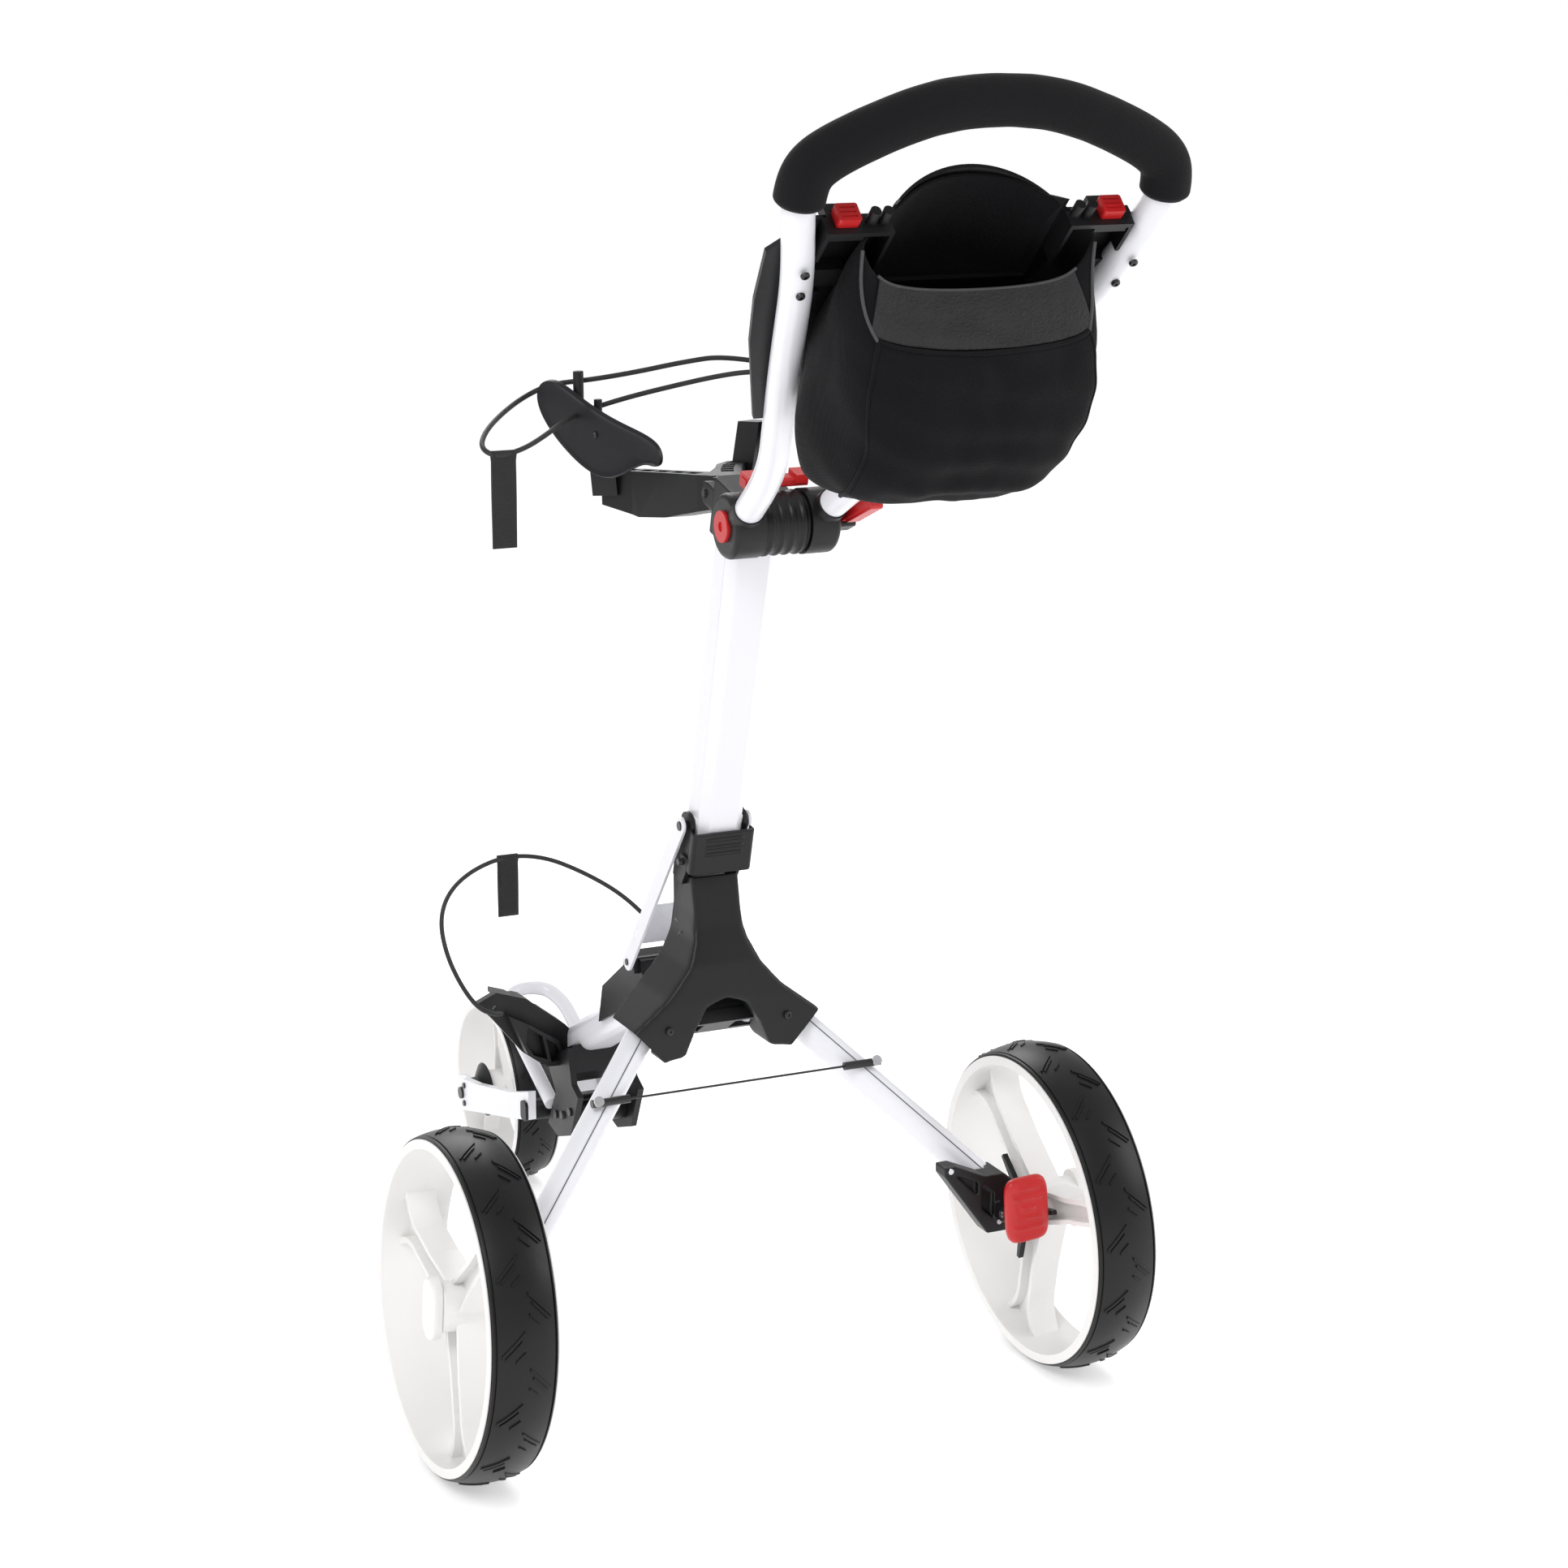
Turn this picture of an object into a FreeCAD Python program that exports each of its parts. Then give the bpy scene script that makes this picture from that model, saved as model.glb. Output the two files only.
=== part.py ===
import FreeCAD, Part
import math
import os

# Three-wheeled golf push trolley, in millimetres.
# +Y is the travel direction, +X is the right-hand side, +Z is up.
# Every shape is drawn with Y measured from the rear axle. The last step moves it back by ORIGIN_Y,
# so that the row's origin is the middle of the footprint, on the ground.

V = FreeCAD.Vector

# ---- driving dimensions -------------------------------------------------------------------------
WHEEL_R = 147.5        # rear tyre radius
WHEEL_W = 56.0         # rear tyre width
CAMBER = 3.0           # rear wheels lean in at the top, degrees
HALF_TRACK = 275.5     # X of a rear wheel's centre
FRONT_R = 96.0         # front tyre radius
FRONT_W = 45.0         # front tyre width
WHEELBASE = 641.0      # front axle ahead of the rear axle
CROWN = 5.4            # tread drop from the tyre's middle to its edge
ORIGIN_Y = 170.4       # middle of the footprint, ahead of the rear axle

LEAN = 14.7            # the mast leans back by this angle, degrees
PIVOT_Y = 112.0        # mast fold pin
PIVOT_Z = 503.0
MAST_HALF_W = 22.0
MAST_HALF_D = 19.0
MAST_TOP = 312.0       # top of the mast above the fold pin, along the mast

HINGE_Y = -15.0        # handle hinge axis
HINGE_Z = 784.0
BARREL_R = 27.0        # handle hinge barrel
BARREL_HALF = 47.0
HOUSING_HALF = 20.0    # half-length of the barrel's middle part, fixed to the mast
ARM_PIN_UP = 294.0     # bag arm pin, along the mast from the fold pin
ARM_PIN_AHEAD = 38.0   # bag arm pin, ahead of the mast's middle

HANDLE_TUBE_R = 12.0
GRIP_R = 18.5
CORD_R = 2.2           # elastic cord
RUN_GAP = 0.04         # radial clearance of a running fit
SIDE_GAP = 0.4         # side clearance between parts that turn on each other
PIN_R = 3.0            # small hinge pins and screws
AXLE_R = 6.0
BEARING_R = 11.0

TUBE_SLOPE = 27.7      # the front tube runs down towards the front wheel, degrees
TUBE_END_Y = 426.0     # middle of the front tube's open end
TUBE_END_Z = 210.0

LEG_A = V(62, 115.2, 330)  # right leg's centre line where it enters the hub cover
LEG_B = V(238, 3.1, 153.3) # right leg's centre line at its lower end
LEG_PIN = V(36, 116.1, 331.4)  # right leg's fold pin

NODES = {}


def keep(name, *shapes):
    """Adds solids to the node of that name."""
    solids = [solid for shape in shapes for solid in shape.Solids]
    NODES.setdefault(name, []).extend(solids)


def mirrored(shape):
    return shape.mirror(V(0, 0, 0), V(1, 0, 0))


def mirror_point(point):
    return V(-point.x, point.y, point.z)


def both(name, shape):
    """A right-hand node and its mirror image."""
    keep(name + "_right", shape)
    keep(name + "_left", mirrored(shape))


# ---- small builders -----------------------------------------------------------------------------
def box(x0, x1, y0, y1, z0, z1):
    return Part.makeBox(x1 - x0, y1 - y0, z1 - z0, V(x0, y0, z0))


def rod(start, end, radius):
    """A cylinder from start to end."""
    line = end - start
    return Part.makeCylinder(radius, line.Length, start, line)


def ring(start, end, outer, inner):
    return rod(start, end, outer).cut(rod(start, end, inner))


def pin_x(y, z, x0, x1, radius):
    return rod(V(x0, y, z), V(x1, y, z), radius)


def side_prism(points, x0, x1):
    """A (y, z) outline, extruded along X."""
    wire = Part.makePolygon([V(x0, y, z) for y, z in points + points[:1]])
    return Part.Face(wire).extrude(V(x1 - x0, 0, 0))


def rear_prism(points, y0, y1):
    """An (x, z) outline, extruded along Y."""
    wire = Part.makePolygon([V(x, y0, z) for x, z in points + points[:1]])
    return Part.Face(wire).extrude(V(0, y1 - y0, 0))


def rounded(shape, radius, direction):
    """Fillets the straight edges that run along a direction."""
    edges = []
    for edge in shape.Edges:
        if edge.Curve.TypeId != "Part::GeomLine":
            continue
        along = edge.tangentAt(edge.FirstParameter)
        if abs(abs(along.dot(direction)) - 1) < 1e-6:
            edges.append(edge)
    return shape.makeFillet(radius, edges)


def placed(shape, origin, tilt):
    """Turns a shape about X by tilt degrees, then moves it to the origin point."""
    place = FreeCAD.Placement(origin, FreeCAD.Rotation(V(1, 0, 0), tilt))
    return shape.transformed(place.toMatrix(), copy=True)


def on_mast(shape):
    """From the mast's own frame (fold pin at 0, Z up the mast, Y to its front) to the trolley's."""
    return placed(shape, V(0, PIVOT_Y, PIVOT_Z), LEAN)


def mast_point(x, ahead, up):
    place = FreeCAD.Placement(V(0, PIVOT_Y, PIVOT_Z), FreeCAD.Rotation(V(1, 0, 0), LEAN))
    return place.multVec(V(x, ahead, up))


def on_tube(shape):
    """From the front tube's own frame (open end at 0, Y along the tube, Z out of its top)."""
    return placed(shape, V(0, TUBE_END_Y, TUBE_END_Z), -TUBE_SLOPE)


def route_wire(points, share=0.45):
    """Straight runs joined by tangent arcs, each as large as its two runs allow."""
    edges = []
    start = points[0]
    radii = []
    for before, corner, after in zip(points, points[1:], points[2:]):
        back = before - corner
        ahead = after - corner
        cut = share * min(back.Length, ahead.Length)
        back.normalize()
        ahead.normalize()
        half_turn = (math.pi - back.getAngle(ahead)) / 2
        radius = cut / math.tan(half_turn)
        middle = back + ahead
        middle.normalize()
        arc_in = corner + back * cut
        arc_out = corner + ahead * cut
        crown = corner + middle * (radius / math.cos(half_turn) - radius)
        edges.append(Part.LineSegment(start, arc_in).toShape())
        edges.append(Part.Arc(arc_in, crown, arc_out).toShape())
        start = arc_out
        radii.append(radius)
    edges.append(Part.LineSegment(start, points[-1]).toShape())
    return Part.Wire(edges), radii


def pipe(points, radius):
    """A solid round bar along a route."""
    path, radii = route_wire(points)
    first = points[1] - points[0]
    circle = Part.Wire([Part.makeCircle(radius, points[0], first)])
    return path.makePipeShell([circle], True, False)


# ---- wheels -------------------------------------------------------------------------------------
def revolved(outline):
    """An (x, radius) outline, turned about X."""
    wire = Part.makePolygon([V(x, 0, r) for x, r in outline + outline[:1]])
    return Part.Face(wire).revolve(V(0, 0, 0), V(1, 0, 0), 360)


def tyre(radius, width, rim_radius):
    half = width / 2
    edge_r = radius - CROWN
    corner = [V(-half, 0, edge_r), V(-half, 0, rim_radius), V(half, 0, rim_radius), V(half, 0, edge_r)]
    tread = Part.Arc(corner[3], V(0, 0, radius), corner[0]).toShape()
    wire = Part.Wire([tread] + list(Part.makePolygon(corner).Edges))
    solid = Part.Face(wire).revolve(V(0, 0, 0), V(1, 0, 0), 360)
    shoulders = [e for e in solid.Edges if e.Curve.TypeId == "Part::GeomCircle"
                 and abs(e.Curve.Radius - edge_r) < 0.01]
    return solid.makeFillet(2.5, shoulders)


def spoke(rim_inner, hub_r, angle):
    """A flared spoke with a channel down each face, turned to its angle from +Y."""
    mid = (rim_inner + hub_r) / 2
    flare = rim_inner * 0.24
    waist = rim_inner * 0.088
    root = hub_r * 0.78

    def side(sign, inset):
        return [
            V(0, sign * (root - inset), hub_r * 0.5),
            V(0, sign * (waist - inset), mid * 0.8),
            V(0, sign * (waist - inset), mid * 1.18),
            V(0, sign * (flare - inset * 2), rim_inner - 0.6 + inset * 0.2),
        ]

    def outline(inset, x, thickness):
        right = side(1, inset)
        left = side(-1, inset)
        bend_r = right[2] + V(0, (right[3].y - right[2].y) * 0.26, (right[3].z - right[2].z) * 0.62)
        bend_l = V(0, -bend_r.y, bend_r.z)
        edges = [
            Part.LineSegment(left[0], right[0]).toShape(),
            Part.LineSegment(right[0], right[1]).toShape(),
            Part.LineSegment(right[1], right[2]).toShape(),
            Part.Arc(right[2], bend_r, right[3]).toShape(),
            Part.LineSegment(right[3], left[3]).toShape(),
            Part.Arc(left[3], bend_l, left[2]).toShape(),
            Part.LineSegment(left[2], left[1]).toShape(),
            Part.LineSegment(left[1], left[0]).toShape(),
        ]
        face = Part.Face(Part.Wire(edges))
        face.translate(V(x, 0, 0))
        return face.extrude(V(thickness, 0, 0))

    depth = rim_inner * 0.2
    body = outline(0, -depth / 2, depth)
    channel = depth * 0.34
    wall = rim_inner * 0.032
    body = body.cut(outline(wall, -depth / 2 - 1, channel + 1))
    body = body.cut(outline(wall, depth / 2 - channel, channel + 1))
    body.rotate(V(0, 0, 0), V(1, 0, 0), angle - 90)
    return body


def rim(outer, width, hub_r, hub_half, first_spoke):
    """Deep dished rim: barrel with lips, three spokes and a hub bored for two bearings."""
    half = width / 2
    wall = outer * 0.045
    barrel = revolved([
        (-half - 1.5, outer - wall), (-half - 1.5, outer + 2), (-half, outer + 2), (-half, outer),
        (half, outer), (half, outer + 2), (half + 1.5, outer + 2), (half + 1.5, outer - wall),
        (half * 0.9, outer - wall), (0, outer - wall - 1.5), (-half * 0.9, outer - wall),
    ])
    hub = rod(V(-hub_half, 0, 0), V(hub_half, 0, 0), hub_r)
    spokes = [spoke(outer - wall, hub_r, first_spoke + 120 * n) for n in range(3)]
    solid = barrel.fuse([hub] + spokes).removeSplitter()
    return solid.cut(rod(V(-hub_half - 1, 0, 0), V(hub_half + 1, 0, 0), BEARING_R))


def bearings(hub_half, width=7.0):
    """Two ball bearings, each drawn as one ring, flush with the hub's ends."""
    inner = AXLE_R + RUN_GAP
    left = ring(V(-hub_half, 0, 0), V(-hub_half + width, 0, 0), BEARING_R, inner)
    right = ring(V(hub_half - width, 0, 0), V(hub_half, 0, 0), BEARING_R, inner)
    return left.fuse(right)


REAR_RIM_R = 137.0
REAR_HUB_HALF = 24.0
COVER_SCREWS_Z = (-18, 18)
# The crowned tread, of radius TREAD_R in section, touches the ground although the wheel leans.
TREAD_R = (WHEEL_W ** 2 / 4 + CROWN ** 2) / (2 * CROWN)
WHEEL_Z = (WHEEL_R - TREAD_R) * math.cos(math.radians(CAMBER)) + TREAD_R


def on_axle(shape):
    """From the right rear wheel's frame (centre at 0, X outward along the axle) to the trolley's."""
    turned = shape.copy()
    turned.rotate(V(0, 0, 0), V(0, 1, 0), -CAMBER)
    turned.translate(V(HALF_TRACK, 0, WHEEL_Z))
    return turned


def axle_cover():
    """Oblong cover over the hub's outer face and the axle's end."""
    x0 = REAR_HUB_HALF
    plate = box(x0, x0 + 9, -15, 15, -12, 12)
    ends = [pin_x(0, z, x0, x0 + 9, 15) for z in (-12, 12)]
    cover = plate.fuse(ends).removeSplitter()
    cap_edges = [e for e in cover.Edges if e.BoundBox.XMin > x0 + 8.9]
    cover = cover.makeFillet(2.5, cap_edges)
    cover = cover.cut(pin_x(0, 0, x0 - 1, x0 + 5, AXLE_R + 2))
    for z in COVER_SCREWS_Z:
        cover = cover.cut(pin_x(0, z, x0 + 4, x0 + 10, PIN_R))
    return cover


def brake_star():
    """Three-armed star behind the right wheel's spokes, which the brake pawl locks into."""
    x0 = -REAR_HUB_HALF
    star = ring(V(x0, 0, 0), V(x0 + 7, 0, 0), 27, 21)
    for n in range(3):
        arm = side_prism([(-4, 24), (4, 24), (2, 54), (-2, 54)], x0, x0 + 5)
        arm.rotate(V(0, 0, 0), V(1, 0, 0), 120 * n + STAR_ANGLE - 90)
        star = star.fuse(arm)
    return star.removeSplitter()


STAR_ANGLE = 45.0
SPOKES_RIGHT = 45.0
SPOKES_LEFT = 15.0


def rear_wheels():
    keep("tyre_right", on_axle(tyre(WHEEL_R, WHEEL_W, REAR_RIM_R)))
    keep("tyre_left", mirrored(on_axle(tyre(WHEEL_R, WHEEL_W, REAR_RIM_R))))
    right = rim(REAR_RIM_R, WHEEL_W, 21, REAR_HUB_HALF, SPOKES_RIGHT).cut(brake_star())
    left = rim(REAR_RIM_R, WHEEL_W, 21, REAR_HUB_HALF, SPOKES_LEFT)
    keep("rim_right", on_axle(right))
    keep("rim_left", mirrored(on_axle(left)))
    keep("brake_star", on_axle(brake_star()))
    both("wheel_bearings", on_axle(bearings(REAR_HUB_HALF)))
    x0 = REAR_HUB_HALF
    screws = [pin_x(0, z, x0 + 4, x0 + 8.4, PIN_R) for z in COVER_SCREWS_Z]
    keep("axle_cover_right", *[on_axle(piece) for piece in [axle_cover()] + screws])
    keep("axle_cover_left", *[mirrored(on_axle(piece)) for piece in [axle_cover()] + screws])


def front_wheel():
    centre = V(0, WHEELBASE, FRONT_R)
    pieces = {
        "tyre_front": tyre(FRONT_R, FRONT_W, 88.0),
        "rim_front": rim(88.0, FRONT_W, 19, 22.0, 80),
        "front_bearings": bearings(22.0),
    }
    for name, shape in pieces.items():
        shape.translate(centre)
        keep(name, shape)


# ---- rear legs ----------------------------------------------------------------------------------
def leg_bar(half_wide, half_deep):
    """A straight oval bar along the leg's centre line."""
    run = LEG_B - LEG_A
    deep = LEG_A + FOLD_AXIS * half_deep
    wide = LEG_A + FOLD_AXIS.cross(run).normalize() * half_wide
    oval = Part.Wire([Part.Ellipse(deep, wide, LEG_A).toShape()])
    return Part.Face(oval).extrude(run)


FOLD_AXIS = V(0, 0.844, -0.536)    # normal of the plane that holds both legs
FOLD_AXIS.normalize()


def leg_hub_end():
    """The leg's solid upper end: a flat lug round the fold pin, tapering into the tube."""
    towards = LEG_A - LEG_PIN
    reach = towards.Length
    towards.normalize()
    across = FOLD_AXIS.cross(towards)
    lug = rod(LEG_PIN - FOLD_AXIS * 9, LEG_PIN + FOLD_AXIS * 9, 13)
    near = LEG_PIN - FOLD_AXIS * 9
    far = near + towards * (reach + 1)
    corners = [near - across * 11.5, far - across * 8, far + across * 8, near + across * 11.5]
    face = Part.Face(Part.makePolygon(corners + corners[:1]))
    block = face.extrude(FOLD_AXIS * 18)
    bore = rod(LEG_PIN - FOLD_AXIS * 20, LEG_PIN + FOLD_AXIS * 20, 4 + RUN_GAP)
    return lug.fuse(block).cut(bore)


BRACKET_REAR = -17.0   # rear face of the moulded brackets at the legs' lower ends


def axle_end(outline):
    """A block of that (x, z) outline round the leg's lower end, bored for the axle stub."""
    body = rear_prism(outline, BRACKET_REAR, 16)
    body = body.cut(leg_bar(LEG_WIDE, LEG_DEEP))
    return body.cut(on_axle(pin_x(0, 0, -70, -20, AXLE_R)))


def axle_bracket():
    """Right-hand moulded gusset behind the leg's lower end, with a ribbed face."""
    outline = [(163, 203), (174, 203), (203, 190), (222, 190), (246, 170), (246, 136), (206, 136), (163, 195)]
    body = axle_end(outline).cut(box(150, 214, 3, 30, 100, 210))
    pockets = [
        rear_prism([(172, 196), (196, 185), (196, 172)], BRACKET_REAR - 1, BRACKET_REAR + 5),
        rear_prism([(200, 182), (212, 173), (212, 150), (200, 160)], BRACKET_REAR - 1, BRACKET_REAR + 4),
    ]
    for pocket in pockets:
        body = body.cut(pocket)
    return body


CABLE_EYE = V(132, 61, 282)    # where the stay cable meets the right leg's bolt, just behind the leg
FERRULE_R = 3.6
LEG_WIDE = 12.5        # half-width of the leg's oval, in the plane of the two legs
LEG_DEEP = 16.0        # half-depth of the oval, across that plane


def legs():
    tube = leg_bar(LEG_WIDE, LEG_DEEP)
    hollow = leg_bar(LEG_WIDE - 2, LEG_DEEP - 2)
    keep_solid = rod(LEG_A, LEG_A + (LEG_B - LEG_A) * 0.12, 30)
    leg = tube.cut(hollow.cut(keep_solid)).fuse(leg_hub_end()).removeSplitter()
    axle = on_axle(pin_x(0, 0, -55, REAR_HUB_HALF + 4, AXLE_R))
    leg = leg.cut(axle)
    bolt_line = FOLD_AXIS * -1
    stem = rod(CABLE_EYE - bolt_line * 14, CABLE_EYE + bolt_line * FERRULE_R, 2)
    head = rod(CABLE_EYE + bolt_line * FERRULE_R, CABLE_EYE + bolt_line * (FERRULE_R + 3), 4.5)
    leg = leg.cut(stem)
    stem_and_head = stem.fuse(head).removeSplitter()
    both("leg_tube", leg)
    both("axle_stub", axle)
    right = axle_bracket()
    small = axle_end([(213, 176), (232, 184), (246, 170), (246, 136), (213, 136)])
    keep("axle_bracket_left", mirrored(small))
    pin = pin_x(BRAKE_PIN_Y, BRAKE_PIN_Z, 212, 242, PIN_R)
    keep("axle_bracket_right", right.fuse(brake_lugs()).removeSplitter().cut(pin))
    keep("brake_pedal", brake_pedal())
    screws = []
    for x, z in ((168, 200), (217, 146)):
        screws.append(rod(V(x, BRACKET_REAR - 1.5, z), V(x, BRACKET_REAR, z), 2.5))
    keep("leg_bolts_left", mirrored(stem_and_head))
    keep("leg_bolts_right", stem_and_head, pin, *screws)
    cable = rod(mirror_point(CABLE_EYE), CABLE_EYE, 1)
    for side in (-1, 1):
        x0, x1 = sorted((side * (CABLE_EYE.x - 30), side * (CABLE_EYE.x + 5)))
        cable = cable.fuse(pin_x(CABLE_EYE.y, CABLE_EYE.z, x0, x1, FERRULE_R))
    keep("stay_cable", cable.removeSplitter().cut(stem).cut(mirrored(stem)))


# ---- chassis ------------------------------------------------------------------------------------
COVER_BACK = [(113, 454), (103, 410), (88, 385), (82, 345), (81, 305)]      # (y, z)
COVER_FRONT = [(118, 296), (140, 325), (172, 372), (180, 405), (163, 456)]
COVER_SIDE = [    # (x, z), from the top of the neck round to the crotch
    (20, 462), (20, 420), (24, 398), (35, 374), (84, 330), (62, 306), (36, 306), (20, 352),
]
WALL = 3.5


def cover_slab(inset):
    """The cover seen from behind: a neck that spreads into two leg sleeves, with an arch between."""
    top, neck, bend, shoulder, tip = [V(x - inset, 0, z - inset) for x, z in COVER_SIDE[:5]]
    heel, sole, crotch = [V(x, 0, z + inset * 0.3) for x, z in COVER_SIDE[5:]]
    middle = V(0, 0, 360 + inset * 0.3)
    right = [
        Part.LineSegment(top, neck).toShape(),
        Part.Arc(neck, bend, shoulder).toShape(),
        Part.LineSegment(shoulder, tip).toShape(),
        Part.LineSegment(tip, heel).toShape(),
        Part.LineSegment(heel, sole).toShape(),
        Part.LineSegment(sole, crotch).toShape(),
        Part.LineSegment(crotch, middle).toShape(),
    ]
    left = [mirrored(edge) for edge in right]
    lid = Part.LineSegment(V(-top.x, 0, top.z), top).toShape()
    outline = Part.Wire(Part.__sortEdges__(right + left + [lid]))
    return Part.Face(outline).extrude(V(0, 240, 0))


def hub_cover(mast_neck):
    """Y-shaped moulded cover, open underneath and in front, so that the legs can fold in."""
    outer = cover_slab(0).common(side_prism(COVER_BACK + COVER_FRONT, -110, 110))
    back = [(y + WALL, z) for y, z in COVER_BACK]
    front = [(y + 30, z) for y, z in COVER_FRONT]
    front[-1] = (200, 470)
    back[0] = (back[0][0] + 3, 470)
    back[-1] = (back[-1][0], 290)
    inner = cover_slab(WALL).common(side_prism(back + front, -110, 110))
    swing = [(-86, 280), (86, 280), (77, 324), (42, 362), (-42, 362), (-77, 324)]
    swing = rear_prism(swing, COVER_BACK[-1][0] + WALL, 220)
    sleeve = leg_bar(LEG_WIDE + 1.2, LEG_DEEP + 1.2)
    return outer.cut(inner).cut(swing).cut(sleeve).cut(mirrored(sleeve)).cut(mast_neck)


def neck_bar(inset):
    """The short box tube that carries the mast's fold pin, less a wall of that thickness."""
    n = inset
    bar = box(-15.5 + n, 15.5 - n, -5 + n, 22 - n, -128, -22)
    return rounded(bar, 4.5 - n, V(0, 0, 1))


def pivot_ear():
    """Right-hand cheek plate that carries the fold pin."""
    x0 = MAST_HALF_W + SIDE_GAP
    plate = side_prism([(-12, -2), (-9, -42), (-4, -56), (16, -56), (16, -20), (12, 2)], x0, x0 + 4)
    plate = plate.fuse(pin_x(0, 0, x0, x0 + 4, 12)).removeSplitter()
    spacer = box(15.5, x0, 0, 16, -54, -30)
    return plate.fuse(spacer).removeSplitter()


def chassis():
    fold_pin = pin_x(0, 0, -PIN_END, PIN_END, PIN_R + 1)
    latch_pins = [pin_x(LATCH_AHEAD, LATCH_UP, s * MAST_HALF_W, s * PIN_END, PIN_R) for s in (-1, 1)]
    ears = pivot_ear().fuse(mirrored(pivot_ear()))
    ears = ears.cut(fold_pin)
    for pin in latch_pins:
        ears = ears.cut(pin)
    neck = on_mast(neck_bar(0).cut(neck_bar(2.5)))
    solid_neck = on_mast(neck_bar(0))
    tube = front_tube()
    stay, foot_pin = front_stay()
    block = hub_block(solid_tube(), solid_neck)
    keep("neck_tube", neck)
    keep("pivot_ears", on_mast(ears))
    keep("hub_cover", hub_cover(solid_neck).cut(block).cut(solid_tube()).cut(on_mast(ears)))
    keep("hub_block", block)
    keep("front_tube", tube.cut(solid_neck))
    keep("front_stay", stay)
    keep("stay_saddle", stay_saddle(foot_pin))
    pins = [on_mast(fold_pin), foot_pin, pin_x(FORK_PIN_Y, FORK_PIN_Z, -36.5, 36.5, 4)]
    pins += [on_mast(pin) for pin in latch_pins]
    for x in (-LEG_PIN.x, LEG_PIN.x):
        middle = V(x, LEG_PIN.y, LEG_PIN.z)
        pins.append(rod(middle - FOLD_AXIS * 20, middle + FOLD_AXIS * 20, 4))
    keep("hinge_pins", *pins)
    bolts = []
    for side in (-1, 1):
        bolts.append(pin_x(140, 408, side * 20, side * 24, 4.5).cut(hub_cover(solid_neck)))
        for y, z in ((376, 158), (413, 144)):
            bolts.append(pin_x(y, z, side * 34, side * 36, 4))
    keep("chassis_bolts", *bolts)


def hub_block(tube, neck):
    """Ribbed cross bracket inside the cover: it joins the neck, the front tube and the leg pins."""
    pin_mid = V(0, LEG_PIN.y, LEG_PIN.z)
    up = V(0, -FOLD_AXIS.z, FOLD_AXIS.y)

    def plate(depth, low, high, half, thick):
        start = pin_mid + FOLD_AXIS * depth + up * low
        rise = up * (high - low)
        side = V(half, 0, 0)
        points = [start - side, start + side, start + side + rise, start - side + rise]
        return Part.Face(Part.makePolygon(points + points[:1])).extrude(FOLD_AXIS * thick)

    rear = plate(-15, -15, 24, 46, 5.5)
    fore = plate(9.5, -15, 24, 46, 6)
    web = plate(-9.5, 14, 24, 46, 19)
    core = plate(-9.5, -15, 14, 15, 19)
    block = rear.fuse([fore, web, core]).removeSplitter()
    for x in (-LEG_PIN.x, LEG_PIN.x):
        point = V(x, LEG_PIN.y, LEG_PIN.z)
        block = block.cut(rod(point - FOLD_AXIS * 30, point + FOLD_AXIS * 30, 4))
    return block.cut(neck).cut(tube)


def solid_tube():
    return on_tube(rounded(box(-20, 20, -300, 0, -16, 16), 11, V(0, 1, 0)))


def front_tube():
    """Rounded box tube from the hub down to the front fork bracket, open at its front end."""
    bore = on_tube(rounded(box(-17.5, 17.5, -290, 1, -13.5, 13.5), 8.5, V(0, 1, 0)))
    return solid_tube().cut(bore)


STAY_FOOT_Y = 234.0
STAY_FOOT_Z = 347.0
PIN_END = 33.5         # the mast's pins end outside the stay straps


def front_stay():
    """Two flat straps from the mast's fold pin to the saddle on the front tube, joined by a web."""
    run = V(0, STAY_FOOT_Y - PIVOT_Y, STAY_FOOT_Z - PIVOT_Z)
    angle = math.degrees(math.atan2(run.z, run.y))
    length = run.Length
    inner = 29.5
    strap = box(inner, inner + 3, 0, length, -8, 8)
    ends = [pin_x(y, 0, inner, inner + 3, 8) for y in (0, length)]
    strap = strap.fuse(ends).removeSplitter()
    web = box(-inner, inner, length * 0.62, length - 20, 4, 7)
    stay = strap.fuse([mirrored(strap), web]).removeSplitter()
    stay = stay.cut(pin_x(0, 0, -40, 40, PIN_R + 1))
    stay = stay.cut(pin_x(length, 0, -40, 40, PIN_R))
    foot_pin = pin_x(length, 0, -PIN_END, PIN_END, PIN_R)
    at = V(0, PIVOT_Y, PIVOT_Z)
    return placed(stay, at, angle), placed(foot_pin, at, angle)


def stay_saddle(foot_pin):
    """Black saddle clamped on the front tube: it takes the stay's foot pin and carries a strap post."""
    outline = [(212, 318), (222, 350), (240, 356), (262, 336), (316, 300), (326, 262), (250, 300)]
    body = side_prism(outline, -24, 24)
    post = rod(V(0, 306, 296), V(0, 306, 326), 6)
    wings = side_prism([(224, 338), (226, 352), (240, 354), (244, 338)], -29.5, 29.5)
    saddle = body.fuse([post, wings]).removeSplitter()
    return saddle.cut(solid_tube()).cut(foot_pin)


LATCH_AHEAD = -6.0     # latch pins, in the mast's frame
LATCH_UP = -32.0


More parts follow.
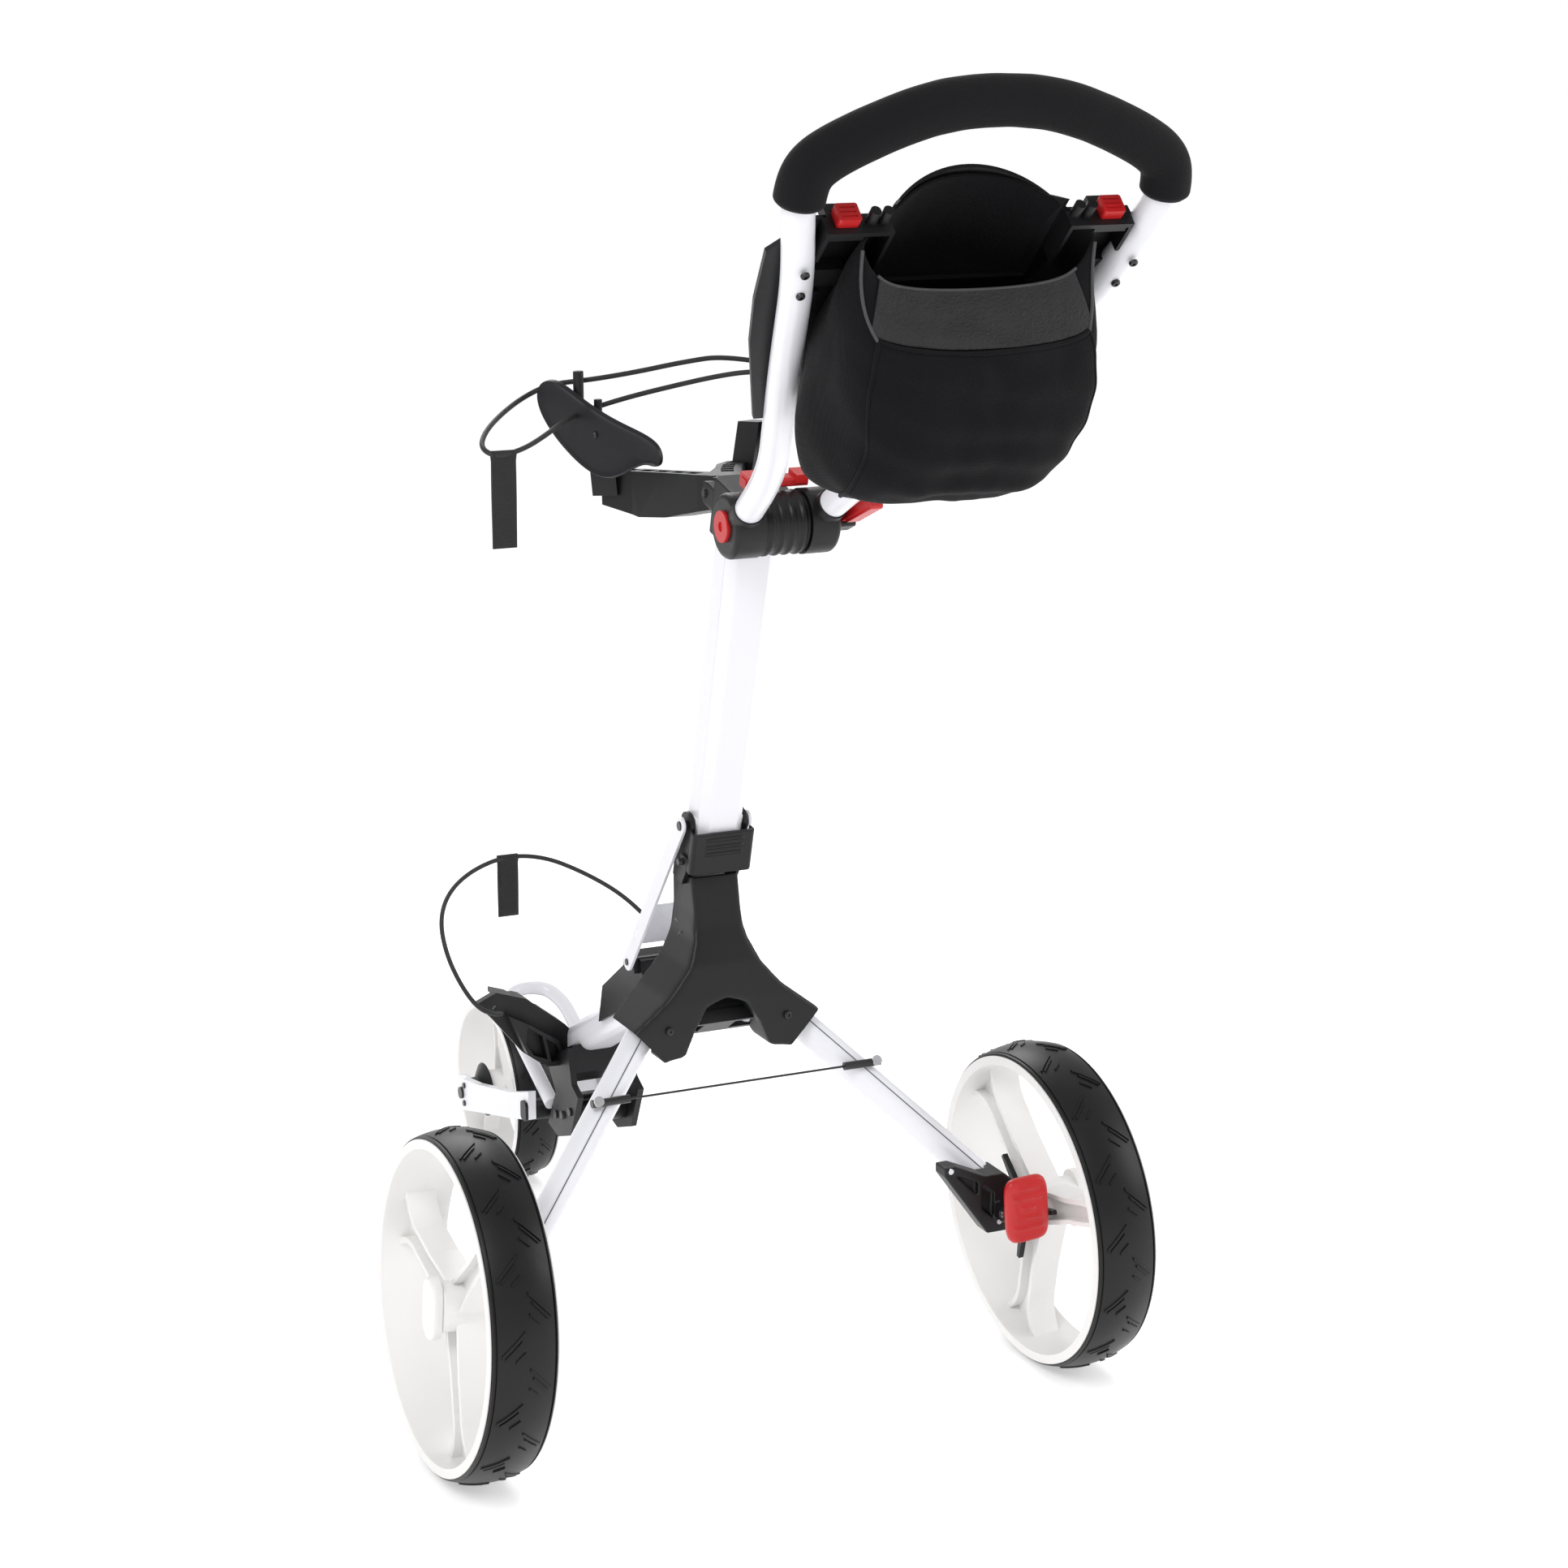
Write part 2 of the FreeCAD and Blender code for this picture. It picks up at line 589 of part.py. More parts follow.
def latch():
    """Clip that wraps the back of the mast's foot and holds it upright; it swings down on its pins."""
    cheek = MAST_HALF_W + SIDE_GAP * 2 + 4
    outer = rounded(box(-cheek - 2.2, cheek + 2.2, -25, -12.5, -37, 2), 5, V(0, 0, 1))
    lower = box(-cheek - 2.2, cheek + 2.2, -14, 0, -37, -26)
    room = box(-cheek, cheek, -20.2, 1, -40, 6)
    clip = outer.fuse(lower).cut(room)
    for up in (-17, -10, -3):
        clip = clip.fuse(box(-17, 17, -26.4, -24.5, up - 1.2, up + 1.2))
    clip = clip.removeSplitter()
    return clip.cut(pin_x(LATCH_AHEAD, LATCH_UP, -40, 40, PIN_R + RUN_GAP))


# ---- front fork and lower bag rest --------------------------------------------------------------
FORK_PIN_Y = 395.0
FORK_PIN_Z = 149.0


def fork_bracket():
    """Moulded bracket under the front tube's end, whose two cheeks hold the fork pin."""
    outline = [
        (438, 192), (382, 220), (372, 186), (356, 178), (376, 134),
        (410, 122), (436, 128), (424, 150), (414, 166),
    ]
    cheek = side_prism(outline, 28, 34)
    bridge = side_prism([(432, 200), (384, 222), (376, 196), (424, 170)], -28, 28)
    body = bridge.fuse([cheek, mirrored(cheek)]).removeSplitter()
    body = body.cut(solid_tube())
    return body.cut(pin_x(FORK_PIN_Y, FORK_PIN_Z, -60, 60, 4))


def fork():
    wheel_y = WHEELBASE
    wheel_z = FRONT_R
    top = [(447.5, 158), (500, 141), (600, 118), (632, 113)]
    underside = [(634, 79), (600, 88), (500, 114), (447.5, 129)]
    arm = side_prism(top + underside, 42, 50)
    tip = pin_x(wheel_y, wheel_z, 42, 50, 18)
    arm = arm.fuse(tip).removeSplitter()
    arm = arm.cut(pin_x(wheel_y, wheel_z, 30, 60, AXLE_R))
    body = [(402, 160), (422, 140.5), (450, 140.5), (450, 129), (414, 130), (392, 138), (386, 156)]
    yoke = side_prism(body, -27.6, 27.6)
    boss = pin_x(FORK_PIN_Y, FORK_PIN_Z, -27.6, 27.6, 11.5)
    cross = rounded(box(-53, 53, 447.5, 462, 127, 146), 4, V(1, 0, 0))
    yoke = yoke.fuse([boss, cross]).removeSplitter()
    yoke = yoke.cut(arm).cut(mirrored(arm))
    yoke = yoke.cut(pin_x(FORK_PIN_Y, FORK_PIN_Z, -60, 60, 4 + RUN_GAP))
    keep("fork_arms", arm, mirrored(arm))
    keep("fork_yoke", yoke)
    axle = [pin_x(wheel_y, wheel_z, -52.5, 52.5, AXLE_R)]
    for y, z in ((633, 106), (633, 87)):
        for x0 in (-51.6, 50):
            axle.append(pin_x(y, z, x0, x0 + 1.6, 3))
    keep("front_axle", *axle)
    cap = rod(V(42, wheel_y, wheel_z), V(25, wheel_y, wheel_z), 14)
    cone = Part.makeCone(28, 14, 8, V(25, wheel_y, wheel_z), V(1, 0, 0))
    cap = cap.fuse(cone).removeSplitter().cut(pin_x(wheel_y, wheel_z, 10, 60, AXLE_R))
    keep("front_hub_caps", cap, mirrored(cap))


def bag_rest(bracket):
    """Right wing of the lower bag rest: an upright web over a ribbed pocket, with a lip on top."""
    outline = [
        (0, 208), (22, 232), (62, 263), (92, 273), (112, 264),
        (96, 247), (66, 210), (46, 195), (28, 192), (0, 196),
    ]
    web = rear_prism(outline, REST_Y - 4, REST_Y + 4)
    pocket = [(24, 196), (34, 221), (62, 240), (84, 252), (66, 212), (46, 197)]
    pocket = rear_prism(pocket, REST_Y - 18, REST_Y - 4)
    cells = [
        rear_prism([(30, 202), (36, 217), (48, 226), (42, 201)], REST_Y - 19, REST_Y - 6),
        rear_prism([(46, 204), (51, 228), (66, 239), (68, 222), (60, 210)], REST_Y - 19, REST_Y - 6),
    ]
    lip = [(22, 227), (62, 258), (92, 268), (92, 273), (62, 263), (22, 232)]
    lip = rear_prism(lip, REST_Y + 4, REST_Y + 20)
    wing = web.fuse([pocket, lip]).removeSplitter()
    for cell in cells:
        wing = wing.cut(cell)
    for x, z in ((46, 256), (70, 272)):
        wing = wing.cut(rod(V(x, REST_Y + 3, z), V(x, REST_Y + 30, z), 7))
    hole = rod(V(CORD_HOLE_X, REST_Y - 30, CORD_HOLE_Z), V(CORD_HOLE_X, REST_Y + 30, CORD_HOLE_Z), CORD_R)
    return wing.cut(hole).cut(solid_tube()).cut(bracket)


REST_Y = 421.0         # the lower bag rest's web
CORD_HOLE_X = 94.0
CORD_HOLE_Z = 258.0


HOOP_R = 7.0


def hoop(bracket):
    """Bent tube loop in front of the fork bracket, which carries the bag's base."""
    slope = math.radians(25)

    def along(x, back):
        return V(x, 585 - back * math.cos(slope), 219 - back * math.sin(slope))

    half = [along(31, 168), along(31, 31), along(22, 7), along(0, 0)]
    bar = pipe(half + [mirror_point(p) for p in half[-2::-1]], HOOP_R).cut(bracket)
    return max(bar.Solids, key=lambda solid: solid.Volume)


# ---- elastic cords ------------------------------------------------------------------------------
LOWER_CORD = [
    V(-94, 398, 258), V(-106, 386, 262), V(-121, 390, 270), V(-128, 416, 286), V(-129, 453, 307),
    V(-121, 492, 329), V(-101, 522, 347), V(-68, 544, 360), V(-28, 555, 367), V(9, 550, 363),
    V(40, 530, 350), V(68, 500, 333), V(84, 466, 314), V(95, 436, 294), V(102, 408, 272),
    V(94, 398, 258),
]
UPPER_CORD = [
    V(92, 190, 886), V(50, 196, 895), V(8, 196, 891), V(-36, 193, 885), V(-78, 196, 880),
    V(-106, 214, 876), V(-128, 219, 866), V(-158, 194, 856), V(-188, 154, 847), V(-203, 124, 838),
    V(-193, 112, 832), V(-168, 118, 836), V(-140, 140, 843), V(-112, 172, 849), V(-84, 186, 856),
    V(-52, 176, 866), V(-12, 172, 874), V(30, 175, 880), V(66, 182, 882), V(92, 187, 880),
]


def cord(name, points):
    bar = pipe(points, CORD_R)
    path, radii = route_wire(points)
    print(name, "length", round(path.Length, 1), "radii", [round(r) for r in radii],
          "volume share", round(bar.Volume / (math.pi * CORD_R ** 2 * path.Length), 4))
    keep(name, bar)


def webbing_tab(name, top, length, points):
    """Flat pull tab that is sewn to a cord and hangs below it."""
    half = 11.0
    start = top - V(half, 0.7, CORD_R)
    strap = Part.makeBox(2 * half, 1.4, length, start - V(0, 0, length))
    keep(name, strap.cut(pipe(points, CORD_R)))


# ---- mast and handle hinge ----------------------------------------------------------------------
def mast_form(inset, bottom, top):
    """Eight-sided mast that widens slightly towards its top, less a wall of that thickness."""
    def section(up):
        half_w = MAST_HALF_W - 1.5 + 2.5 * up / MAST_TOP - inset
        half_d = MAST_HALF_D - inset
        chamfer = 8 - inset * 0.5
        quarter = [(half_w, half_d - chamfer), (half_w - chamfer, half_d)]
        corners = quarter + [(-x, y) for x, y in quarter[::-1]]
        corners += [(-x, -y) for x, y in corners]
        points = [V(x, y, up) for x, y in corners]
        return Part.makePolygon(points + points[:1])

    return Part.makeLoft([section(bottom), section(top)], True, True)


def mast_tube():
    mast = mast_form(0, -6, MAST_TOP).cut(mast_form(2.5, 14, MAST_TOP + 1))
    cheek = box(MAST_HALF_W - 3, MAST_HALF_W, -10, 10, -6, 10)
    mast = mast.fuse([cheek, mirrored(cheek)]).removeSplitter()
    return mast.cut(pin_x(0, 0, -40, 40, PIN_R + 1 + RUN_GAP))


LEAN_COS = math.cos(math.radians(LEAN))
LEAN_SIN = math.sin(math.radians(LEAN))
HINGE_AHEAD = (HINGE_Y - PIVOT_Y) * LEAN_COS + (HINGE_Z - PIVOT_Z) * LEAN_SIN    # in the mast's frame
HINGE_UP = (HINGE_Z - PIVOT_Z) * LEAN_COS - (HINGE_Y - PIVOT_Y) * LEAN_SIN
SHAFT_R = 6.0


def hinge_housing():
    """Moulded top of the mast: a sleeve, the middle of the handle barrel behind it and bag arm lugs."""
    up0 = ARM_PIN_UP - 26
    sleeve = rounded(box(-26.5, 26.5, -23, 21.5, up0, MAST_TOP + 5), 6, V(0, 0, 1))
    barrel = pin_x(HINGE_AHEAD, HINGE_UP, -HOUSING_HALF, HOUSING_HALF, BARREL_R - 2)
    neck = side_prism([
        (-22, up0 + 2), (-22, MAST_TOP + 5), (HINGE_AHEAD + 4, HINGE_UP + BARREL_R - 5),
        (HINGE_AHEAD - 4, HINGE_UP - BARREL_R + 5),
    ], -HOUSING_HALF, HOUSING_HALF)
    lugs = []
    for x0 in (-24, 15):
        lug = box(x0, x0 + 9, 20, ARM_PIN_AHEAD, ARM_PIN_UP - 10, ARM_PIN_UP + 10)
        lugs += [lug, pin_x(ARM_PIN_AHEAD, ARM_PIN_UP, x0, x0 + 9, 10)]
    ribs = []
    for x in (-14, -4.5, 4.5, 14):
        ribs.append(pin_x(HINGE_AHEAD, HINGE_UP, x - 1.6, x + 1.6, BARREL_R - 0.4))
    body = sleeve.fuse([barrel, neck] + lugs + ribs).removeSplitter()
    body = body.cut(pin_x(HINGE_AHEAD, HINGE_UP, -60, 60, SHAFT_R + RUN_GAP))
    return body.cut(pin_x(ARM_PIN_AHEAD, ARM_PIN_UP, -60, 60, PIN_R))


def mast():
    tube = mast_tube()
    housing = hinge_housing().cut(mast_form(0, -6, MAST_TOP))
    low = HINGE_UP + BARREL_R
    housing = housing.cut(box(-36, 36, -44.2, -31.8, low - 1.4, low + 18))
    keep("mast_tube", on_mast(tube))
    keep("hinge_housing", on_mast(housing))
    keep("bag_arm_pin", on_mast(pin_x(ARM_PIN_AHEAD, ARM_PIN_UP, -26, 26, PIN_R)))
    keep("mast_latch", on_mast(latch()))
    keep("lock_bar", on_mast(lock_bar()))


def lock_bar():
    """Red slide on the hinge housing that frees the handle."""
    low = HINGE_UP + BARREL_R + 0.2
    bar = rounded(box(-28, 28, -44, -32, low, low + 8), 2, V(1, 0, 0))
    grip = box(-27, -16, -46, -30, low + 4, low + 11)
    return bar.fuse([grip, mirrored(grip)]).removeSplitter()


# ---- handle -------------------------------------------------------------------------------------
HANDLE_HALF = [
    V(33, -15, 784), V(46, -106, 840), V(100, -242, 935), V(127, -322, 1011), V(145, -360, 1064),
    V(141, -367, 1088), V(106, -374, 1110), V(58, -378, 1128), V(20, -378, 1133),
]


def handle_points():
    right = HANDLE_HALF
    left = [V(-p.x, p.y, p.z) for p in right]
    return right + left[::-1]


def grip_points():
    points = handle_points()
    return points[4:-4]


def knuckle():
    """Right end of the handle barrel, with the socket of the handle tube."""
    x0 = HOUSING_HALF + SIDE_GAP
    body = pin_x(HINGE_Y, HINGE_Z, x0, BARREL_HALF, BARREL_R)
    rim_edges = [e for e in body.Edges if e.BoundBox.XMin > BARREL_HALF - 0.1]
    body = body.makeFillet(5, rim_edges)
    along = HANDLE_HALF[1] - HANDLE_HALF[0]
    along.normalize()
    start = HANDLE_HALF[0]
    collar = rod(start + along * 12, start + along * 34, HANDLE_TUBE_R + 1.4)
    side_limit = box(x0, BARREL_HALF + 6, -200, 200, 700, 900)
    return body.fuse(collar.common(side_limit)).removeSplitter()


def handle():
    tube = pipe(handle_points(), HANDLE_TUBE_R)
    shaft = pin_x(HINGE_Y, HINGE_Z, -BARREL_HALF, BARREL_HALF + 6, SHAFT_R)
    socket = knuckle().cut(tube).cut(shaft)
    keep("handle_knuckles", socket, mirrored(knuckle()).cut(tube).cut(shaft))
    keep("handle_tube", tube.cut(shaft))
    keep("hinge_shaft", shaft)
    grip = pipe(grip_points(), GRIP_R)
    keep("foam_grip", grip.cut(tube))
    cap = pin_x(HINGE_Y, HINGE_Z, -BARREL_HALF - 3, -BARREL_HALF, 13)
    cap = cap.cut(pin_x(HINGE_Y, HINGE_Z, -BARREL_HALF - 4, -BARREL_HALF - 1.4, 4)).cut(mirrored(knuckle()))
    keep("hinge_cap", cap)


LEVER_X = 58.0
LEVER_TILT = 158.0     # the closed lever points up and back, degrees from +Y


def lever_block():
    """Clevis on the hinge shaft's right end, in which the clamp lever turns."""
    block = rounded(box(BARREL_HALF, LEVER_X + 8, -10, 10, -9, 9), 3, V(1, 0, 0))
    return block.cut(box(BARREL_HALF + 4, LEVER_X + 9, -11, 11, -5.4, 5.4))


def clamp_lever():
    lever = box(LEVER_X - 5, LEVER_X + 5, 0, 60, -5, 5)
    cam = rod(V(LEVER_X, 0, -5), V(LEVER_X, 0, 5), 5)
    body = lever.fuse(cam).removeSplitter()
    pad = rounded(box(LEVER_X - 4, LEVER_X + 7, 16, 66, -8, 8), 3, V(1, 0, 0))
    for n in range(7):
        y = 24 + 5.5 * n
        pad = pad.cut(box(LEVER_X + 5.6, LEVER_X + 8, y, y + 2.2, -9, 9))
    return body.fuse(pad).removeSplitter()


def lever_parts():
    at = V(0, HINGE_Y, HINGE_Z)
    pin = rod(V(LEVER_X, 0, -9), V(LEVER_X, 0, 9), 2)
    block = lever_block().cut(pin).cut(pin_x(0, 0, BARREL_HALF, BARREL_HALF + 6, SHAFT_R))
    lever = clamp_lever().cut(rod(V(LEVER_X, 0, -9), V(LEVER_X, 0, 9), 2 + RUN_GAP))
    keep("lever_block", placed(block, at, LEVER_TILT).cut(knuckle()), placed(pin, at, LEVER_TILT))
    keep("clamp_lever", placed(lever, at, LEVER_TILT))


# ---- bag arm ------------------------------------------------------------------------------------
BEAM_TILT = -3.5       # the beams run forward and slightly down, degrees
BEAM_LOW = -26.0       # underside of the beams at their bend, from their pin
POST_LOW = -8.0
BEAM_HIGH = 13.0


def on_arm(shape):
    """From the bag arm's frame (its pin at 0, Y forward along the beams) to the trolley's."""
    return placed(shape, mast_point(0, ARM_PIN_AHEAD, ARM_PIN_UP), BEAM_TILT)


def bag_arm():
    """Forked beam that folds on the hinge housing, with a row of open cells along each branch."""
    outer = [(0, 8), (14.6, 8), (14.6, 13), (21, 24), (36, 60), (52, 92), (70, 116)]
    inner = [(54, 128), (33, 104), (18, 74), (0, 44)]
    points = [V(x, y, BEAM_LOW) for x, y in outer + inner]
    branch = Part.Face(Part.makePolygon(points + points[:1])).extrude(V(0, 0, BEAM_HIGH - BEAM_LOW))
    centre_line = [V(12, 34, 0), V(26, 66, 0), V(42, 97, 0), V(60, 120, 0)]
    for start, end in zip(centre_line, centre_line[1:]):
        for first, last in ((0.06, 0.46), (0.56, 0.94)):
            a = start + (end - start) * first
            b = start + (end - start) * last
            across = V(-(b - a).y, (b - a).x, 0).normalize() * 5.5
            rim = [p + V(0, 0, BEAM_HIGH - 14) for p in (a - across, b - across, b + across, a + across)]
            branch = branch.cut(Part.Face(Part.makePolygon(rim + rim[:1])).extrude(V(0, 0, 20)))
    profile = [(-30, -16), (14, -16), (60, -25), (86, BEAM_LOW), (136, -10), (136, 80), (-30, 80)]
    branch = branch.common(side_prism(profile, -100, 100))
    root = box(-14.6, 14.6, 0, 12, -12, 12).fuse(pin_x(0, 0, -14.6, 14.6, 12))
    post_plan = [V(62, 100, POST_LOW), V(80, 112, POST_LOW), V(70, 130, POST_LOW), V(52, 122, POST_LOW)]
    post = Part.Face(Part.makePolygon(post_plan + post_plan[:1])).extrude(V(7, -7, 56))
    side = branch.fuse(post).removeSplitter()
    body = root.fuse([side, mirrored(side)]).removeSplitter()
    return on_arm(body.cut(pin_x(0, 0, -30, 30, PIN_R + RUN_GAP)))


def bag_pad(arm):
    """Right-hand curved pad that the bag's side rests on, with its two cord hooks."""
    inner = [V(52, 112, 780), V(85, 162, 780), V(115, 220, 780)]
    outer = [V(49, 115, 780), V(81.5, 164, 780), V(111, 221, 780)]
    edges = [
        Part.Arc(*inner).toShape(),
        Part.LineSegment(inner[2], outer[2]).toShape(),
        Part.Arc(outer[2], outer[1], outer[0]).toShape(),
        Part.LineSegment(outer[0], inner[0]).toShape(),
    ]
    strip = Part.Face(Part.Wire(edges)).extrude(V(0, 0, 110))
    outline = [
        (48, 815), (48, 836), (75, 849), (90, 862), (109, 882), (116, 878), (116, 858), (110, 838),
        (97, 814), (84, 800), (74, 806), (62, 820),
    ]
    pad = strip.common(rear_prism(outline, 90, 240))
    hook = rod(V(90, 190, 852), V(90, 190, 890), 4.5)
    foot = box(80, 100, 176, 194, 850, 858)
    peg = rod(V(78, 176, 842), V(78, 176, 866), 3.5)
    pad = pad.fuse([foot, hook, peg]).removeSplitter()
    return pad.cut(arm)


def bag_arm_parts():
    arm = bag_arm()
    keep("bag_arm", arm)
    pad = bag_pad(arm)
    cord = pipe(UPPER_CORD, CORD_R)
    keep("bag_pads", pad.cut(cord), mirrored(pad).cut(cord))


# ---- console and pouch --------------------------------------------------------------------------
CONSOLE_TILT = -43.5   # the console's Y axis runs down the handle tubes, its Z axis to their front
BOARD_BACK = 13.0      # the board lies across the front of the tubes
BOARD_FRONT = 17.0
LEDGE_TOP = -50.0      # top of the ledges, up the tubes


def on_console(shape):
    return placed(shape, V(0, -322, 1011), CONSOLE_TILT)


def half_prism(points, z0, z1):
    """A right-hand (x, y) outline from the centre line, mirrored and extruded along Z."""
    left = [(-x, y) for x, y in points[::-1]]
    ring_points = [V(x, y, z0) for x, y in points + left]
    return Part.Face(Part.makePolygon(ring_points + ring_points[:1])).extrude(V(0, 0, z1 - z0))


def arch_wall(inset):
    """Bowed front wall of the pouch's mouth."""
    half = 70 - inset
    bow = 47 - inset
    arc = Part.Arc(V(-half, 0, BOARD_FRONT - 3), V(0, 0, bow), V(half, 0, BOARD_FRONT - 3)).toShape()
    base = Part.LineSegment(V(half, 0, BOARD_FRONT - 3), V(-half, 0, BOARD_FRONT - 3)).toShape()
    return Part.Face(Part.Wire([arc, base])).extrude(V(0, 1, 0) * 90)


def console(tube):
    """Moulded board behind which the pouch hangs: two ledges with buttons and a bowed mouth wall."""
    outline = [(70, -48), (124, -48), (152, -14), (143, 40), (130, 90), (112, 140), (96, 184)]
    board = half_prism(outline, BOARD_BACK, BOARD_FRONT)
    wall = arch_wall(0).cut(arch_wall(2.5))
    wall.translate(V(0, -62, 0))
    crown = side_prism([(-63, 10), (-54, 24), (-63, 50)], -80, 80)
    board = board.cut(half_prism([(67.5, -53), (67.5, 24)], BOARD_BACK - 1, BOARD_FRONT + 1))
    ledges = []
    for side in (-1, 1):
        top = box(70, 122, LEDGE_TOP, LEDGE_TOP + 4, -2, BOARD_BACK)
        inner_rib = box(70, 73, LEDGE_TOP, -8, -2, BOARD_BACK)
        outer_rib = box(119, 122, LEDGE_TOP, -20, -2, BOARD_BACK)
        seat = box(92, 118, LEDGE_TOP, LEDGE_TOP + 9, BOARD_FRONT - 18, BOARD_FRONT + 8)
        pads = [box(104, 120, 18, 40, 2, BOARD_BACK), box(92, 122, -6, 12, 2, BOARD_BACK)]
        clips = []
        for x in (76, 86):
            clips.append(rod(V(x, LEDGE_TOP - 12, 8), V(x, LEDGE_TOP + 2, 8), 4))
        right = top.fuse([inner_rib, outer_rib, seat] + pads + clips).removeSplitter()
        ledges.append(right if side > 0 else mirrored(right))
    body = board.fuse([wall.cut(crown)] + ledges).removeSplitter()
    for side in (-1, 1):
        x0, x1 = sorted((side * 96, side * 114))
        body = body.cut(box(x0, x1, LEDGE_TOP - 1, LEDGE_TOP + 7, 3, 19))
    return on_console(body).cut(tube)


def console_button():
    cap = rounded(box(96.3, 113.7, LEDGE_TOP - 8, LEDGE_TOP + 3, 3.3, 18.7), 2, V(0, 1, 0))
    for z in (7, 11, 15):
        cap = cap.cut(box(99, 111, LEDGE_TOP - 9, LEDGE_TOP - 7.2, z - 0.7, z + 0.7))
    return on_console(cap)


def pouch_form(inset, rise):
    """Outer or inner form of the fabric pouch: it hangs behind the board, between the tubes."""
    n = inset
    profile = [
        (-6 - rise, 12 - n), (150 - n, 5 - n), (178 - n, -18 - n * 0.6), (172 - n, -59), (104, -124 + n),
        (52, -120 + n), (12, -91 + n), (-5, -58 + n), (-5 - rise, -56 + n),
    ]
    body = side_prism(profile, -90, 90)
    plan = half_prism([(84 - n, -50), (84 - n, 90), (60 - n, 182)], -140, 20)
    section = [(-84 + n, 20), (-84 + n, -66), (-74 + n, -98), (-46, -124 + n)]
    section += [(-x, z) for x, z in section[::-1]]
    return body.common(plan).common(rear_prism(section, -60, 200)).removeSplitter()


def pouch():
    return on_console(pouch_form(0, 0).cut(pouch_form(3, 30)))


def console_parts():
    tube = pipe(handle_points(), HANDLE_TUBE_R)
    keep("console", console(tube))
    both("console_button", console_button())
    keep("pouch", pouch())


# ---- brake --------------------------------------------------------------------------------------
BRAKE_PIN_Y = -29.0
BRAKE_PIN_Z = 157.0


def brake_lugs():
    lugs = []
    for x0 in (213, 237):
        lug = box(x0, x0 + 4, BRAKE_PIN_Y, BRACKET_REAR, BRAKE_PIN_Z - 7, BRAKE_PIN_Z + 7)
        lugs += [lug, pin_x(BRAKE_PIN_Y, BRAKE_PIN_Z, x0, x0 + 4, 7)]
    return lugs


def brake_pedal():
    barrel = pin_x(BRAKE_PIN_Y, BRAKE_PIN_Z, 217 + SIDE_GAP, 237 - SIDE_GAP, 6.5)
    arm = side_prism([(-30, 153), (-46, 152), (-48, 172), (-30, 165)], 220, 234)
    pad = side_prism([(-43, 198), (-51, 194), (-52, 141), (-43, 137)], 207, 247)
    pedal = pad.fuse([barrel, arm])
    for n in range(5):
        z = 149 + 9.5 * n
        pedal = pedal.fuse(pin_x(-51.4, z, 211, 243, 1.8))
    return pedal.removeSplitter().cut(pin_x(BRAKE_PIN_Y, BRAKE_PIN_Z, 200, 250, PIN_R + RUN_GAP))


# ---- assembly -----------------------------------------------------------------------------------
def build():
    rear_wheels()
    front_wheel()
    legs()
    chassis()
    bracket = fork_bracket()
    keep("fork_bracket", bracket)
    fork()
    rest = bag_rest(bracket)
    keep("bag_rests", rest, mirrored(rest))
    keep("base_hoop", hoop(bracket))
    cord("lower_cord", LOWER_CORD)
    webbing_tab("lower_tab", V(-28, 556, 367), 60, LOWER_CORD)
    cord("upper_cord", UPPER_CORD)
    webbing_tab("upper_tab", V(-186, 114, 833), 78, UPPER_CORD)
    mast()
    handle()
    lever_parts()
    bag_arm_parts()
    console_parts()


def export():
    os.makedirs("parts", exist_ok=True)
    for name, solids in NODES.items():
        shape = solids[0] if len(solids) == 1 else Part.makeCompound(solids)
        shape.translate(V(0, -ORIGIN_Y, 0))
        shape.exportStep("parts/" + name + ".step")


build()
export()
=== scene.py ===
import math

import bmesh
import bpy
from mathutils import Matrix, Vector, noise


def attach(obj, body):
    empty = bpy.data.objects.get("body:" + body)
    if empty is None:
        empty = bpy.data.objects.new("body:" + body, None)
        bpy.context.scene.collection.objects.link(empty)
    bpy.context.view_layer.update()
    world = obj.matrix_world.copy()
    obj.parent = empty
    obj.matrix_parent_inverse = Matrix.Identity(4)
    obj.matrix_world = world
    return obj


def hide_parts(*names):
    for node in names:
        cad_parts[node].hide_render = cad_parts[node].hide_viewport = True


# Golf push trolley. Metres, in the row frame: +Y is the travel direction, +X the right-hand side, +Z up.
# Positions are written with Y measured from the rear axle, as at(x, y, z).

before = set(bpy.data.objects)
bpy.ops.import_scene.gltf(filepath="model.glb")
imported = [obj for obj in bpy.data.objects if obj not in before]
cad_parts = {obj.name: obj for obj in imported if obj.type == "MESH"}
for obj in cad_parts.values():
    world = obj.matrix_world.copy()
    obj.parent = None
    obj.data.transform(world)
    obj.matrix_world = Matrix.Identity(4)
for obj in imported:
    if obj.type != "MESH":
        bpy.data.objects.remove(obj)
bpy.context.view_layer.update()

AXLE_Y = -0.1704        # the rear axle in the row frame
SIDES = (("left", -1), ("right", 1))


def at(x, y, z):
    return Vector((x, y + AXLE_Y, z))


# ---- mesh helpers -------------------------------------------------------------------------------
def add_object(name, data, material):
    piece = bpy.data.objects.new(name, data)
    bpy.context.scene.collection.objects.link(piece)
    data.materials.append(material)
    return piece


